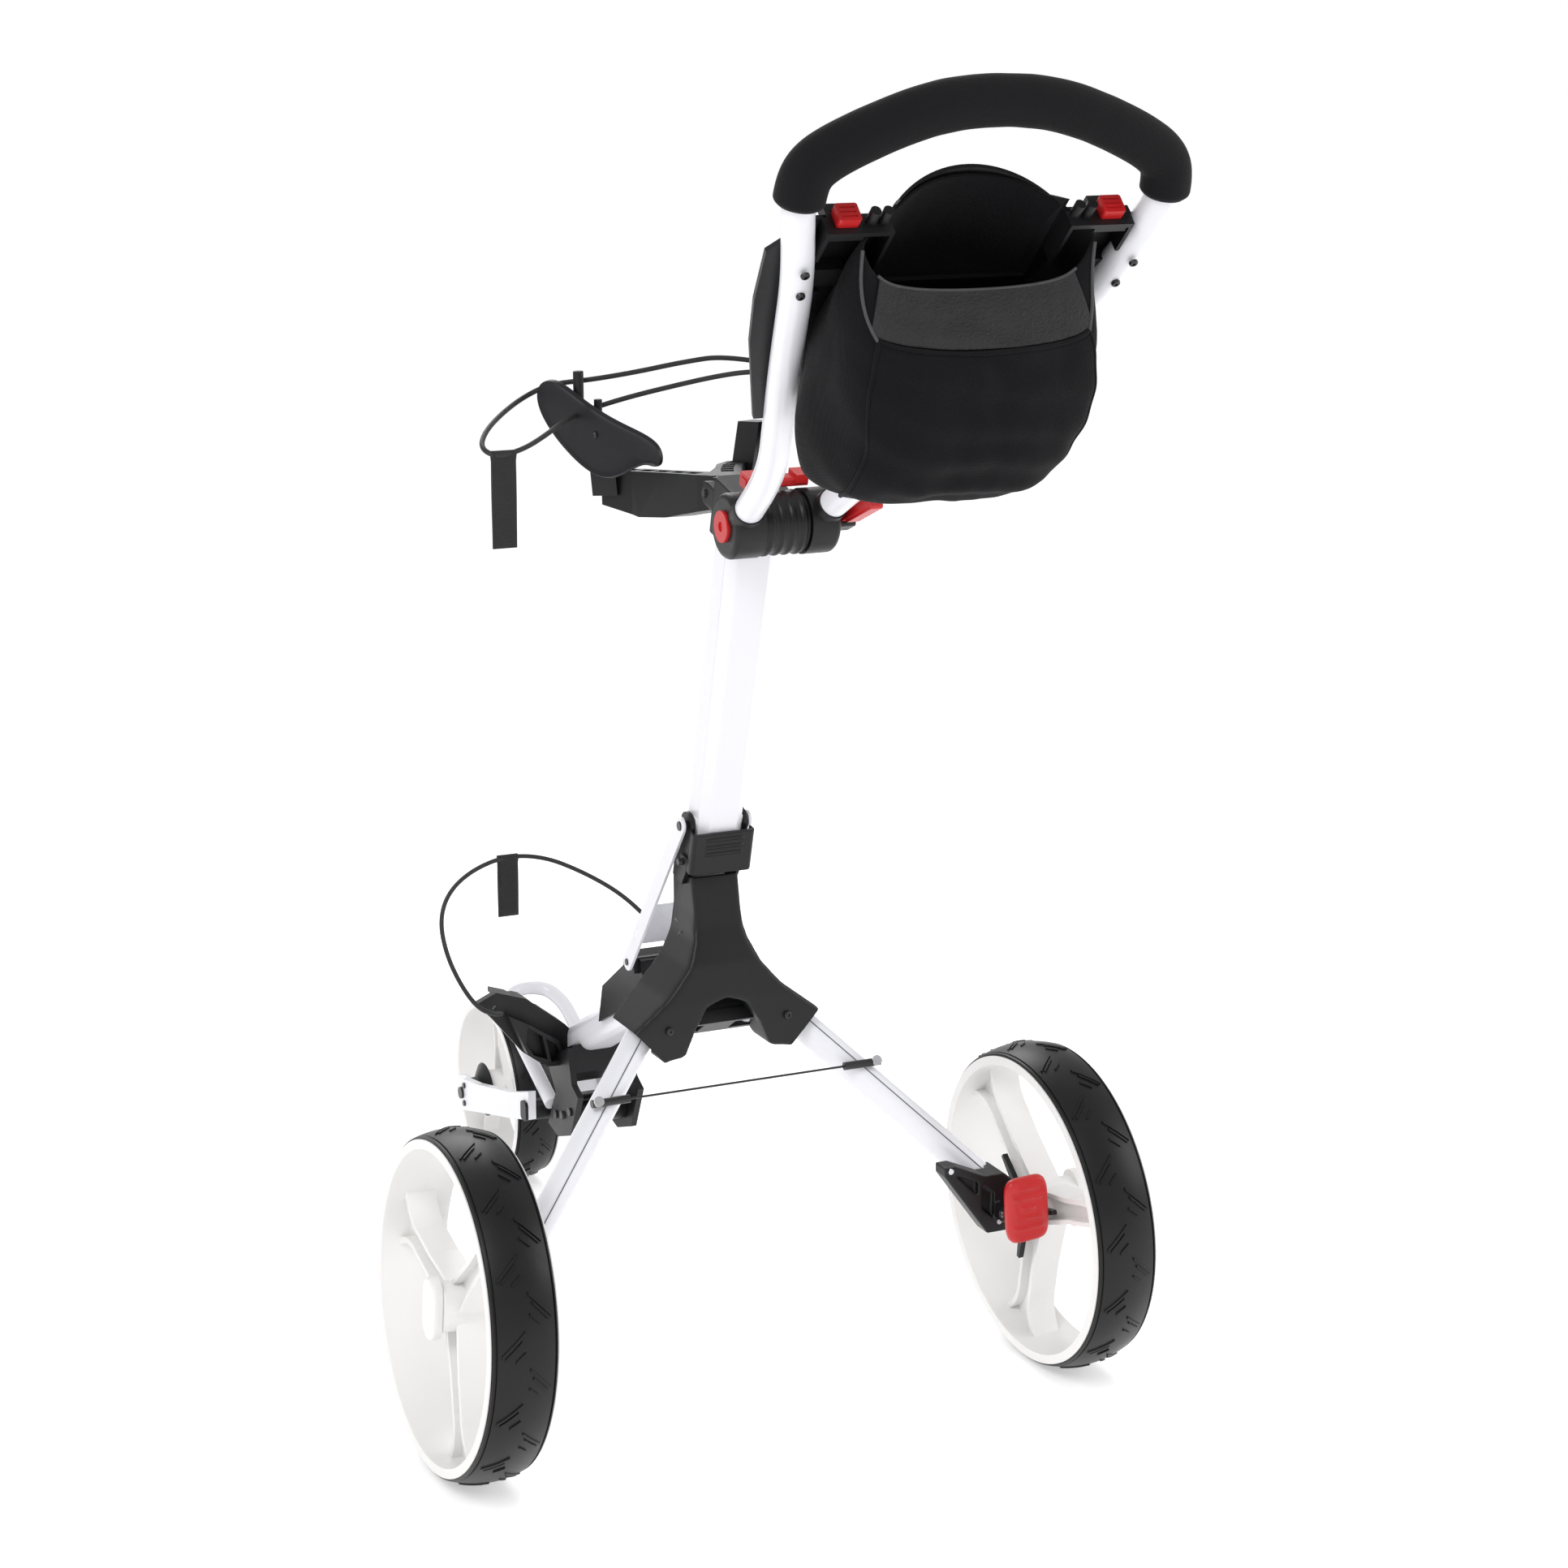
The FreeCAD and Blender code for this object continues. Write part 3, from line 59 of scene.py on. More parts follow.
def mesh_piece(name, verts, faces, material, sharp=35):
    """A smooth-shaded mesh with its normals outwards; edges bent by more than sharp degrees stay sharp."""
    data = bpy.data.meshes.new(name)
    data.from_pydata([tuple(v) for v in verts], [], faces)
    data.validate()
    tidy = bmesh.new()
    tidy.from_mesh(data)
    bmesh.ops.remove_doubles(tidy, verts=tidy.verts, dist=1e-6)
    bmesh.ops.recalc_face_normals(tidy, faces=tidy.faces)
    tidy.to_mesh(data)
    tidy.free()
    data.shade_smooth()
    data.set_sharp_from_angle(angle=math.radians(sharp))
    return add_object(name, data, material)


def grid_faces(rows, columns, closed):
    """Quads between rows of points; closed joins the last column to the first."""
    faces = []
    across = columns if closed else columns - 1
    for r in range(rows - 1):
        low, high = r * columns, (r + 1) * columns
        for c in range(across):
            n = (c + 1) % columns
            faces.append((low + c, low + n, high + n, high + c))
    return faces


def steps(start, end, count):
    """Evenly spaced values from start to end."""
    return [start + (end - start) * i / (count - 1) for i in range(count)]


def blend(four, u):
    """The cubic B-spline's place at u, 0 to 1, in the span of four control points."""
    weights = ((1 - u) ** 3, 3 * u ** 3 - 6 * u ** 2 + 4, -3 * u ** 3 + 3 * u ** 2 + 3 * u + 1, u ** 3)
    return sum((p * (w / 6) for p, w in zip(four, weights)), four[0] * 0)


def bspline(points, count):
    """Points along a smooth curve that starts at the first point and ends at the last."""
    ctrl = [points[0]] * 2 + list(points) + [points[-1]] * 2
    spans = len(ctrl) - 3
    out = []
    for i in range(count):
        t = spans * i / (count - 1)
        k = min(int(t), spans - 1)
        out.append(blend(ctrl[k:k + 4], t - k))
    return out


def cap_faces(sides, total):
    """The two end faces of a tube of rings."""
    return [tuple(range(sides)), tuple(reversed(range(total - sides, total)))]


def sweep(name, path, radii, material, sides):
    """A capped tube along a path, with a radius at each of its points."""
    verts = []
    normal = None
    for i, point in enumerate(path):
        tangent = (path[min(i + 1, len(path) - 1)] - path[max(i - 1, 0)]).normalized()
        if normal is None:
            normal = tangent.orthogonal().normalized()
        normal = (normal - tangent * normal.dot(tangent)).normalized()
        other = tangent.cross(normal)
        for s in range(sides):
            a = 2 * math.pi * s / sides
            verts.append(point + (normal * math.cos(a) + other * math.sin(a)) * radii[i])
    faces = grid_faces(len(path), sides, True) + cap_faces(sides, len(verts))
    return mesh_piece(name, verts, faces, material)


def lathe(name, profile, origin, axis, material, sides):
    """A turned piece with closed ends. The profile is (distance along the axis, radius)."""
    axis = Vector(axis).normalized()
    normal = axis.orthogonal().normalized()
    other = axis.cross(normal)
    verts = []
    for along, radius in profile:
        for s in range(sides):
            a = 2 * math.pi * s / sides
            spoke = normal * math.cos(a) + other * math.sin(a)
            verts.append(origin + axis * along + spoke * max(radius, 1e-5))
    faces = grid_faces(len(profile), sides, True) + cap_faces(sides, len(verts))
    return mesh_piece(name, verts, faces, material)


def screw(name, origin, axis, radius, material, body):
    """A domed socket screw's head."""
    h = radius * 0.55
    profile = [
        (-0.0006, radius), (h * 0.35, radius), (h * 0.8, radius * 0.86), (h, radius * 0.6),
        (h, radius * 0.42), (h * 0.3, radius * 0.38), (h * 0.3, 0.0),
    ]
    piece = lathe(name, profile, origin, axis, material, 24)
    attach(piece, body)


# ---- materials ----------------------------------------------------------------------------------
ROUGH_DRIFT = 0.08
BAND_SCALE = 0.314      # a wave texture of scale 1 has its bands this far apart, in m


def shader(name, color, rough, vary, grains, metallic=0.0, coat=0.0, sheen=0.0, specular=0.5):
    """A surface whose colour and roughness drift. vary is (size of the drift in m, its share of the
    colour), and each of grains is a bump layer, (kind, size in m, depth in m)."""
    material = bpy.data.materials.new(name)
    material.use_nodes = True
    nodes = material.node_tree.nodes
    links = material.node_tree.links
    bsdf = nodes["Principled BSDF"]
    coord = nodes.new("ShaderNodeTexCoord")

    drift = nodes.new("ShaderNodeTexNoise")
    drift.inputs["Scale"].default_value = 1 / vary[0]
    drift.inputs["Detail"].default_value = 5.0
    links.new(coord.outputs["Object"], drift.inputs["Vector"])
    mix = nodes.new("ShaderNodeMix")
    mix.data_type = "RGBA"
    mix.inputs["A"].default_value = tuple(c * (1 - vary[1]) for c in color) + (1,)
    mix.inputs["B"].default_value = tuple(min(c * (1 + vary[1]), 1) for c in color) + (1,)
    links.new(drift.outputs["Fac"], mix.inputs["Factor"])
    links.new(mix.outputs["Result"], bsdf.inputs["Base Color"])

    wear = nodes.new("ShaderNodeMapRange")
    wear.inputs["To Min"].default_value = max(rough - ROUGH_DRIFT, 0.02)
    wear.inputs["To Max"].default_value = min(rough + ROUGH_DRIFT, 1.0)
    links.new(drift.outputs["Fac"], wear.inputs["Value"])
    links.new(wear.outputs["Result"], bsdf.inputs["Roughness"])

    last = None         # the bump layer before this one
    for kind, size, depth in grains:
        if kind == "cells":
            texture = nodes.new("ShaderNodeTexVoronoi")
            texture.inputs["Scale"].default_value = 1 / size
            height = texture.outputs["Distance"]
        elif kind in ("bands_x", "bands_y", "bands_z"):
            texture = nodes.new("ShaderNodeTexWave")
            texture.bands_direction = kind[-1].upper()
            texture.inputs["Scale"].default_value = BAND_SCALE / size
            texture.inputs["Distortion"].default_value = 0.4
            height = texture.outputs["Fac"]
        else:
            texture = nodes.new("ShaderNodeTexNoise")
            texture.inputs["Scale"].default_value = 1 / size
            texture.inputs["Detail"].default_value = 3.0
            height = texture.outputs["Fac"]
        links.new(coord.outputs["Object"], texture.inputs["Vector"])
        bump = nodes.new("ShaderNodeBump")
        bump.inputs["Distance"].default_value = depth
        bump.inputs["Strength"].default_value = 1.0
        links.new(height, bump.inputs["Height"])
        if last:
            links.new(last.outputs["Normal"], bump.inputs["Normal"])
        last = bump
    if last:
        links.new(last.outputs["Normal"], bsdf.inputs["Normal"])

    bsdf.inputs["Metallic"].default_value = metallic
    bsdf.inputs["Coat Weight"].default_value = coat
    bsdf.inputs["Coat Roughness"].default_value = 0.15
    bsdf.inputs["Sheen Weight"].default_value = sheen
    bsdf.inputs["Sheen Roughness"].default_value = 0.5
    bsdf.inputs["Specular IOR Level"].default_value = specular
    return material


WHITE_PAINT = shader("white_paint", (0.76, 0.76, 0.80), 0.30, coat=0.25, vary=(0.25, 0.015),
                     grains=[("noise", 0.0030, 0.00004)])
WHITE_PLASTIC = shader("white_plastic", (0.78, 0.77, 0.76), 0.36, vary=(0.20, 0.02),
                       grains=[("noise", 0.0012, 0.00003)])
BLACK_PLASTIC = shader("black_plastic", (0.006, 0.006, 0.007), 0.42, vary=(0.05, 0.20),
                       grains=[("noise", 0.0009, 0.00006), ("noise", 0.012, 0.00010)], specular=0.34)
PAD_RUBBER = shader("pad_rubber", (0.006, 0.006, 0.008), 0.44, vary=(0.03, 0.20),
                    grains=[("noise", 0.0011, 0.00008)], specular=0.32)
RED_PLASTIC = shader("red_plastic", (0.50, 0.010, 0.012), 0.36, vary=(0.05, 0.08),
                     grains=[("noise", 0.0012, 0.00005)])
STEEL = shader("steel", (0.62, 0.62, 0.64), 0.26, metallic=1.0, vary=(0.02, 0.08),
               grains=[("noise", 0.0015, 0.00002)])
BLACK_STEEL = shader("black_steel", (0.014, 0.014, 0.015), 0.34, vary=(0.01, 0.15),
                     grains=[("noise", 0.0010, 0.00003)])
TYRE_RUBBER = shader("tyre_rubber", (0.006, 0.006, 0.007), 0.40, vary=(0.03, 0.25),
                     grains=[("noise", 0.0014, 0.00006), ("noise", 0.009, 0.00006)], specular=0.30)
FOAM = shader("foam", (0.005, 0.005, 0.006), 0.85, sheen=0.04, vary=(0.02, 0.22),
              grains=[("cells", 0.0012, 0.00022), ("noise", 0.004, 0.00020)], specular=0.16)
FABRIC = shader("pouch_fabric", (0.004, 0.004, 0.005), 0.85, sheen=0.03, specular=0.14, vary=(0.03, 0.25),
                grains=[("bands_x", 0.0012, 0.00012), ("bands_z", 0.0012, 0.00012),
                        ("noise", 0.02, 0.0006)])
WEBBING = shader("webbing", (0.008, 0.008, 0.009), 0.80, sheen=0.08, vary=(0.01, 0.25),
                 grains=[("bands_z", 0.0016, 0.00020), ("noise", 0.0008, 0.0001)])
CORD = shader("cord_braid", (0.008, 0.008, 0.009), 0.60, sheen=0.08, vary=(0.006, 0.35),
              grains=[("cells", 0.0009, 0.00018)])
MESH_FABRIC = shader("pouch_net", (0.014, 0.014, 0.015), 0.70, vary=(0.012, 0.45),
                     grains=[("cells", 0.0022, 0.0006), ("noise", 0.010, 0.0012)], specular=0.4)
THREAD = shader("thread", (0.045, 0.045, 0.048), 0.7, vary=(0.004, 0.3),
                grains=[("noise", 0.0006, 0.0001)])
SEAM_DARK = shader("seam_dark", (0.10, 0.10, 0.11), 0.6, vary=(0.02, 0.2),
                   grains=[("noise", 0.001, 0.00003)])

NODE_LOOK = {
    WHITE_PAINT: "leg_tube_left leg_tube_right front_tube front_stay fork_arms base_hoop handle_tube "
                 "mast_tube neck_tube",
    WHITE_PLASTIC: "rim_left rim_right rim_front axle_cover_left axle_cover_right",
    STEEL: "wheel_bearings_left wheel_bearings_right front_bearings axle_stub_left axle_stub_right "
           "leg_bolts_left leg_bolts_right hinge_shaft",
    BLACK_STEEL: "hinge_pins chassis_bolts front_axle bag_arm_pin stay_cable",
    BLACK_PLASTIC: "brake_star axle_bracket_left axle_bracket_right hub_block pivot_ears stay_saddle "
                   "fork_bracket fork_yoke front_hub_caps bag_rests hinge_housing mast_latch "
                   "handle_knuckles lever_block bag_arm console",
    RED_PLASTIC: "lock_bar hinge_cap clamp_lever console_button_left console_button_right",
}


def round_edges(piece, width, angle):
    """Rounds the edges that bend by more than angle degrees."""
    bevel = piece.modifiers.new("bevel", "BEVEL")
    bevel.width = width
    bevel.segments = 3
    bevel.limit_method = "ANGLE"
    bevel.angle_limit = math.radians(angle)
    return bevel


def even_mesh(piece, grid):
    even = piece.modifiers.new("even", "REMESH")
    even.mode = "VOXEL"
    even.voxel_size = grid
    even.use_smooth_shade = True


def smooth_out(piece, rounds):
    calm = piece.modifiers.new("calm", "SMOOTH")
    calm.factor = 0.5
    calm.iterations = rounds


def thicken(piece, thickness, offset):
    """Gives a sheet its thickness: offset 0 to both sides of it, -1 inwards."""
    wall = piece.modifiers.new("wall", "SOLIDIFY")
    wall.thickness = thickness
    wall.offset = offset


MOULDED = {    # nodes rounded all over: (grid of the remesh, rounds of smoothing)
    "mast_latch": (0.0007, 6),
    "axle_cover_left": (0.0008, 8),
    "axle_cover_right": (0.0008, 8),
    "hinge_housing": (0.0009, 6),
    "axle_bracket_left": (0.0009, 5),
    "axle_bracket_right": (0.0009, 5),
    "clamp_lever": (0.0006, 6),
}
# The other nodes have their edges rounded by this much, or by USUAL_ROUND.
EDGE_ROUND = {"bag_arm": 0.0020, "fork_yoke": 0.0015, "fork_bracket": 0.0015, "console": 0.0009}
USUAL_ROUND = 0.0007
ROUND_ALREADY = ("stay_cable", "hinge_shaft", "handle_tube")

for look, names in NODE_LOOK.items():
    for node in names.split():
        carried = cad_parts[node]
        for slot in carried.material_slots:
            slot.material = look
        if node in MOULDED:
            grid, rounds = MOULDED[node]
            even_mesh(carried, grid)
            smooth_out(carried, rounds)
        elif node not in ROUND_ALREADY:
            weld = carried.modifiers.new("weld", "WELD")
            weld.merge_threshold = 1e-5
            rounding = round_edges(carried, EDGE_ROUND.get(node, USUAL_ROUND), 38)
            rounding.harden_normals = True


# ---- camera, floor and light --------------------------------------------------------------------
CAMERA_PLACE = at(-1.1231, -2.4270, 1.2251)
CAMERA_HEADING = -25.11      # degrees about Z, from looking along +Y
CAMERA_DIP = 13.92           # degrees below the horizon
CAMERA_ROLL = 0.15           # degrees
FLOOR = 400.0                # half the floor's side

camera_data = bpy.data.cameras.new("camera")
camera_data.sensor_width = 36.0
camera_data.lens = 76.12
camera_data.clip_end = 2.5 * FLOOR
camera = bpy.data.objects.new("camera", camera_data)
bpy.context.scene.collection.objects.link(camera)
turn = (Matrix.Rotation(math.radians(CAMERA_HEADING), 4, "Z")
        @ Matrix.Rotation(math.radians(90 - CAMERA_DIP), 4, "X")
        @ Matrix.Rotation(math.radians(CAMERA_ROLL), 4, "Z"))
camera.matrix_world = Matrix.Translation(CAMERA_PLACE) @ turn
bpy.context.scene.camera = camera

floor_look = shader("floor", (0.93, 0.93, 0.93), 0.75, vary=(0.8, 0.004),
                    grains=[("noise", 0.02, 0.00002)])
floor_glow = floor_look.node_tree.nodes["Principled BSDF"].inputs
floor_glow["Emission Color"].default_value = (1.0, 1.0, 1.0, 1.0)
floor_glow["Emission Strength"].default_value = 0.43
floor_corners = [(x * FLOOR, y * FLOOR, 0) for x, y in ((-1, -1), (1, -1), (1, 1), (-1, 1))]
floor = mesh_piece("floor", floor_corners, [(0, 1, 2, 3)], floor_look)

SKY_FADE = {    # from the height of the direction looked in to the light from there: dimmer overhead
    "From Min": 0.06, "From Max": 0.22, "To Min": 1.0, "To Max": 0.60,
}
world = bpy.data.worlds.new("studio")
world.use_nodes = True
sky = world.node_tree
background = sky.nodes["Background"]
background.inputs["Color"].default_value = (1.0, 1.0, 1.0, 1.0)
heading = sky.nodes.new("ShaderNodeTexCoord")
split = sky.nodes.new("ShaderNodeSeparateXYZ")
fade = sky.nodes.new("ShaderNodeMapRange")
for socket, value in SKY_FADE.items():
    fade.inputs[socket].default_value = value
sky.links.new(heading.outputs["Generated"], split.inputs["Vector"])
sky.links.new(split.outputs["Z"], fade.inputs["Value"])
sky.links.new(fade.outputs["Result"], background.inputs["Strength"])
bpy.context.scene.world = world
bpy.context.scene.view_settings.view_transform = "Standard"

LAMPS = [    # name, place, the point it is turned to, side in m, power in W
    ("key", Vector((-2.6, -2.2, 3.4)), Vector((0, 0, 0.5)), 1.8, 80),
    ("fill", Vector((3.0, -1.6, 1.9)), Vector((0, 0, 0.5)), 1.6, 30),
    ("back", Vector((0.6, 3.2, 2.6)), Vector((0, 0, 0.6)), 1.8, 45),
]
for name, place, aim, size, power in LAMPS:
    data = bpy.data.lights.new(name, "AREA")
    data.shape = "SQUARE"
    data.size = size
    data.energy = power
    lamp = bpy.data.objects.new(name, data)
    facing = (aim - place).to_track_quat("-Z", "Y").to_matrix().to_4x4()
    lamp.matrix_world = Matrix.Translation(place) @ facing
    bpy.context.scene.collection.objects.link(lamp)

# ---- elastic cords and their tabs ---------------------------------------------------------------
CORD_R = 0.0022
TAB_WIDE = 0.021
LAYER_GAP = 0.0009      # from a tab's middle to the middle of one of its two layers
STITCH = 0.006          # how far below the cord's middle the two layers meet

LOWER_CORD = [
    at(-0.094, 0.398, 0.258), at(-0.106, 0.386, 0.262), at(-0.121, 0.390, 0.270), at(-0.128, 0.416, 0.286),
    at(-0.129, 0.453, 0.307), at(-0.121, 0.492, 0.329), at(-0.101, 0.522, 0.347), at(-0.068, 0.544, 0.360),
    at(-0.028, 0.555, 0.367), at(0.009, 0.550, 0.363), at(0.040, 0.530, 0.350), at(0.068, 0.500, 0.333),
    at(0.084, 0.466, 0.314), at(0.095, 0.436, 0.294), at(0.102, 0.408, 0.272), at(0.094, 0.398, 0.258),
]
UPPER_CORD = [
    at(0.092, 0.190, 0.886), at(0.050, 0.196, 0.895), at(0.008, 0.196, 0.891), at(-0.036, 0.193, 0.885),
    at(-0.078, 0.196, 0.880), at(-0.106, 0.214, 0.876), at(-0.128, 0.219, 0.866), at(-0.158, 0.194, 0.856),
    at(-0.188, 0.154, 0.847), at(-0.203, 0.124, 0.838), at(-0.193, 0.112, 0.832), at(-0.168, 0.118, 0.836),
    at(-0.140, 0.140, 0.843), at(-0.112, 0.172, 0.849), at(-0.084, 0.186, 0.856), at(-0.052, 0.176, 0.866),
    at(-0.012, 0.172, 0.874), at(0.030, 0.175, 0.880), at(0.066, 0.182, 0.882), at(0.092, 0.187, 0.880),
]


def cord_piece(name, points, body, node):
    data = bpy.data.curves.new(name, "CURVE")
    data.dimensions = "3D"
    data.bevel_depth = CORD_R
    data.bevel_resolution = 5
    data.resolution_u = 10
    data.use_fill_caps = True
    spline = data.splines.new("NURBS")
    spline.points.add(len(points) - 1)
    for target, point in zip(spline.points, points):
        target.co = (*point, 1.0)
    spline.order_u = 3
    spline.use_endpoint_u = True
    piece = add_object(name, data, CORD)
    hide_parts(node)
    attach(piece, body)
    return piece


def tab_piece(name, top, length, body, node):
    """A webbing pull tab: it wraps over the cord and its two layers hang down, sewn together."""
    wrap = CORD_R + 0.0006
    over = []
    for i in range(7):
        a = math.pi * i / 6
        over.append((math.cos(a) * wrap, math.sin(a) * wrap))
    front = []
    for u in (1, 0.8, 0.6, 0.4, 0.2, 0):
        front.append((LAYER_GAP + 0.0004 * math.sin(5 * u), -STITCH - u * (length - STITCH)))
    rear = [(-y, z) for y, z in front[::-1]]
    outline = front + over + rear
    widths = steps(-TAB_WIDE / 2, TAB_WIDE / 2, 7)
    verts = [top + Vector((x, y, z)) for y, z in outline for x in widths]
    piece = mesh_piece(name, verts, grid_faces(len(outline), len(widths), False), WEBBING)
    thicken(piece, 0.0010, 0.0)
    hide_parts(node)
    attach(piece, body)
    return piece


lower_cord = cord_piece("cord_lower", LOWER_CORD, "chassis", "lower_cord")
lower_tab = tab_piece("tab_lower", at(-0.028, 0.5535, 0.3655), 0.060, "chassis", "lower_tab")
upper_cord = cord_piece("cord_upper", UPPER_CORD, "bag_arm", "upper_cord")
upper_tab = tab_piece("tab_upper", at(-0.186, 0.116, 0.8335), 0.078, "bag_arm", "upper_tab")

# ---- tyres --------------------------------------------------------------------------------------
TRACK = 0.2755          # X of a rear wheel's centre
WHEEL_Z = 0.1474        # height of a rear wheel's centre
CAMBER = 3.0            # degrees
FRONT_AXLE = at(0, 0.641, 0.096)
REAR_TYRE = (0.1475, 0.056, 0.137, 30)      # radius, width, inner radius, groups of bars
FRONT_TYRE = (0.096, 0.045, 0.088, 20)
CROWN = 0.0054          # how much lower the tread lies at its edges than in its middle
SHOULDER = 0.0022       # the step down at the tread's edges
GROOVE = 0.0012         # depth of the groove beside each shoulder
BAR_LIFT = 0.0013       # how far the tread bars stand out of the tyre
BAR_ROOT = -0.0008      # how deep they go into it
TREAD_BARS = [    # start and end as shares of the half width, then in m: place round, run round, half width
    (0.08, 0.76, 0.0, 0.019, 0.0017),
    (0.18, 0.66, 0.0075, 0.0134, 0.0014),
    (0.08, 0.36, 0.0165, 0.0070, 0.0014),
]


def tyre_mesh(name, place, tyre_radius, width, inner, count):
    """A smooth crowned tyre with ribbed shoulders and groups of slanted raised bars, left and right in
    turn. The radius is that of the bars' tops."""
    radius = tyre_radius - BAR_LIFT
    half = width / 2
    lip = radius - CROWN - SHOULDER
    bead = inner + 0.0004
    across = [-0.975, -0.93, -0.915, -0.885, -0.87, -0.80]
    across += [-0.8 + 0.1 * i for i in range(1, 16)] + [0.80, 0.87, 0.885, 0.915, 0.93, 0.975]
    rows = [(-1.0, bead), (-1.0, lip)]
    rows += [(f, radius - CROWN * f * f - (GROOVE if 0.88 < abs(f) < 0.92 else 0.0)) for f in across]
    rows += [(1.0, lip), (1.0, bead)]
    sides = 192
    verts = []
    for f, r in rows:
        for s in range(sides):
            angle = 2 * math.pi * s / sides
            verts.append(Vector((f * half, r * math.cos(angle), r * math.sin(angle))))
    faces = grid_faces(len(rows), sides, True)
    section = ((BAR_ROOT, 1.0), (BAR_LIFT, 0.7), (BAR_LIFT, -0.7), (BAR_ROOT, -1.0))

    def bar(start_x, end_x, angle, slant, wide):
        """One raised bar from start_x to end_x across the tread; slant is how far it runs round."""
        base = len(verts)
        cuts = 5
        for i in range(cuts):
            t = i / (cuts - 1)
            x = start_x + (end_x - start_x) * t
            surface = radius - CROWN * (x / half) ** 2
            for lift, spread in section:
                a = angle + (slant * t + wide * spread) / radius
                r = surface + lift
                verts.append(Vector((x, r * math.cos(a), r * math.sin(a))))
        for face in grid_faces(cuts, len(section), True):
            faces.append(tuple(base + corner for corner in face))
        for end in cap_faces(len(section), cuts * len(section)):
            faces.append(tuple(base + corner for corner in end))

    for n in range(count):
        angle = 2 * math.pi * n / count
        side = 1 if n % 2 else -1
        for start, end, ahead, slant, wide in TREAD_BARS:
            bar(side * start * half, side * end * half, angle + ahead / radius, slant, wide)
    return mesh_piece(name, [place @ v for v in verts], faces, TYRE_RUBBER, 28)


for side_name, sign in SIDES:
    upright = Matrix.Translation(at(sign * TRACK, 0, WHEEL_Z))
    leaning = upright @ Matrix.Rotation(math.radians(-CAMBER * sign), 4, "Y")
    tyre = tyre_mesh("tread_" + side_name, leaning, *REAR_TYRE)
    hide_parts("tyre_" + side_name)
    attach(tyre, "wheel_" + side_name)

tyre = tyre_mesh("tread_front", Matrix.Translation(FRONT_AXLE), *FRONT_TYRE)
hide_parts("tyre_front")
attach(tyre, "wheel_front")

# ---- foam grip ----------------------------------------------------------------------------------
GRIP_R = 0.0184
GRIP_END = 0.005        # the length over which each end of the grip rounds off
GRIP_HALF = [
    at(0.145, -0.360, 1.064), at(0.1445, -0.3655, 1.080), at(0.138, -0.369, 1.094),
    at(0.106, -0.374, 1.110), at(0.058, -0.378, 1.128), at(0.020, -0.378, 1.1335),
]
grip_route = GRIP_HALF + [Vector((-p.x, p.y, p.z)) for p in GRIP_HALF[::-1]]
grip_path = bspline(grip_route, 130)
grip_radii = []
for point in grip_path:
    edge = min((point - grip_path[0]).length, (point - grip_path[-1]).length)
    round_off = 0.004 * (1 - min(edge / GRIP_END, 1.0)) ** 2
    grip_radii.append(GRIP_R - round_off + 0.00025 * noise.noise(point * 60))
grip = sweep("grip_foam", grip_path, grip_radii, FOAM, 40)
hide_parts("foam_grip")
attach(grip, "handle")

# ---- fabric pouch -------------------------------------------------------------------------------
CONSOLE = Matrix.Translation(at(0, -0.322, 1.011)) @ Matrix.Rotation(math.radians(-43.5), 4, "X")
# Each ring of the pouch, from its mouth down: the share of its width kept on the left and on the right,
# then its right half from the front's middle to the rear's middle, as mm (right, down the tubes, to the
# front) in the console's frame.
POUCH_RINGS = [
    (1.00, 1.00, (0, -57, 43), (35, -57, 36), (62, -54, 20), (84, -46, 7), (92, -38, -6), (68, -17, -22),
     (0, -12, -26)),
    (1.00, 1.00, (0, -20, 43), (36, -18, 37), (66, -15, 21), (92, -12, 6), (101, 2, -24), (78, 0, -62),
     (0, -1, -74)),
    (1.00, 1.00, (0, 24, 40), (38, 24, 34), (68, 24, 18), (92, 20, 4), (102, 34, -34), (84, 30, -92),
     (0, 26, -104)),
    (1.00, 0.94, (0, 60, 9), (42, 60, 9), (74, 60, 8), (96, 62, -2), (102, 74, -50), (80, 62, -112),
     (0, 56, -122)),
    (1.06, 0.84, (0, 110, 7), (38, 110, 6), (66, 112, 4), (80, 112, -12), (98, 112, -48), (76, 98, -116),
     (0, 94, -126)),
    (1.12, 0.72, (0, 148, 2), (30, 152, 1), (52, 152, -3), (64, 150, -20), (84, 146, -62), (64, 130, -96),
     (0, 126, -106)),
    (1.20, 0.66, (0, 164, -20), (22, 164, -21), (40, 164, -24), (54, 162, -32), (62, 160, -56),
     (44, 154, -74), (0, 150, -80)),
]
AROUND = 12             # points round a ring; 0 is the front's middle
REAR = AROUND / 2       # and this is the rear's
LAST_RING = len(POUCH_RINGS) - 1


def ring_point(ring, k):
    """Point k of a ring, in m, with the ring's left half mirrored from its right."""
    left, right, *half = POUCH_RINGS[min(max(ring, 0), LAST_RING)]
    k %= AROUND
    x, y, z = half[min(k, AROUND - k)]
    return Vector((x * right if k <= REAR else -x * left, y, z)) / 1000


def through(a, b, c, d, t):
    """The smooth curve from b to c with neighbours a and d."""
    square = (a * 2 - b * 5 + c * 4 - d) * t ** 2
    cube = (b * 3 - a - c * 3 + d) * t ** 3
    return (b * 2 + (c - a) * t + square + cube) / 2


def pouch_point(u, v):
    """A point of the cloth: u goes round it, 0 to AROUND, and v down it, 0 at the mouth to LAST_RING."""
    ring = min(int(v), LAST_RING - 1)
    k = math.floor(u)
    rows = []
    for r in range(ring - 1, ring + 3):
        rows.append(through(*[ring_point(r, k + n) for n in range(-1, 3)], u - k))
    return through(*rows, v - ring)


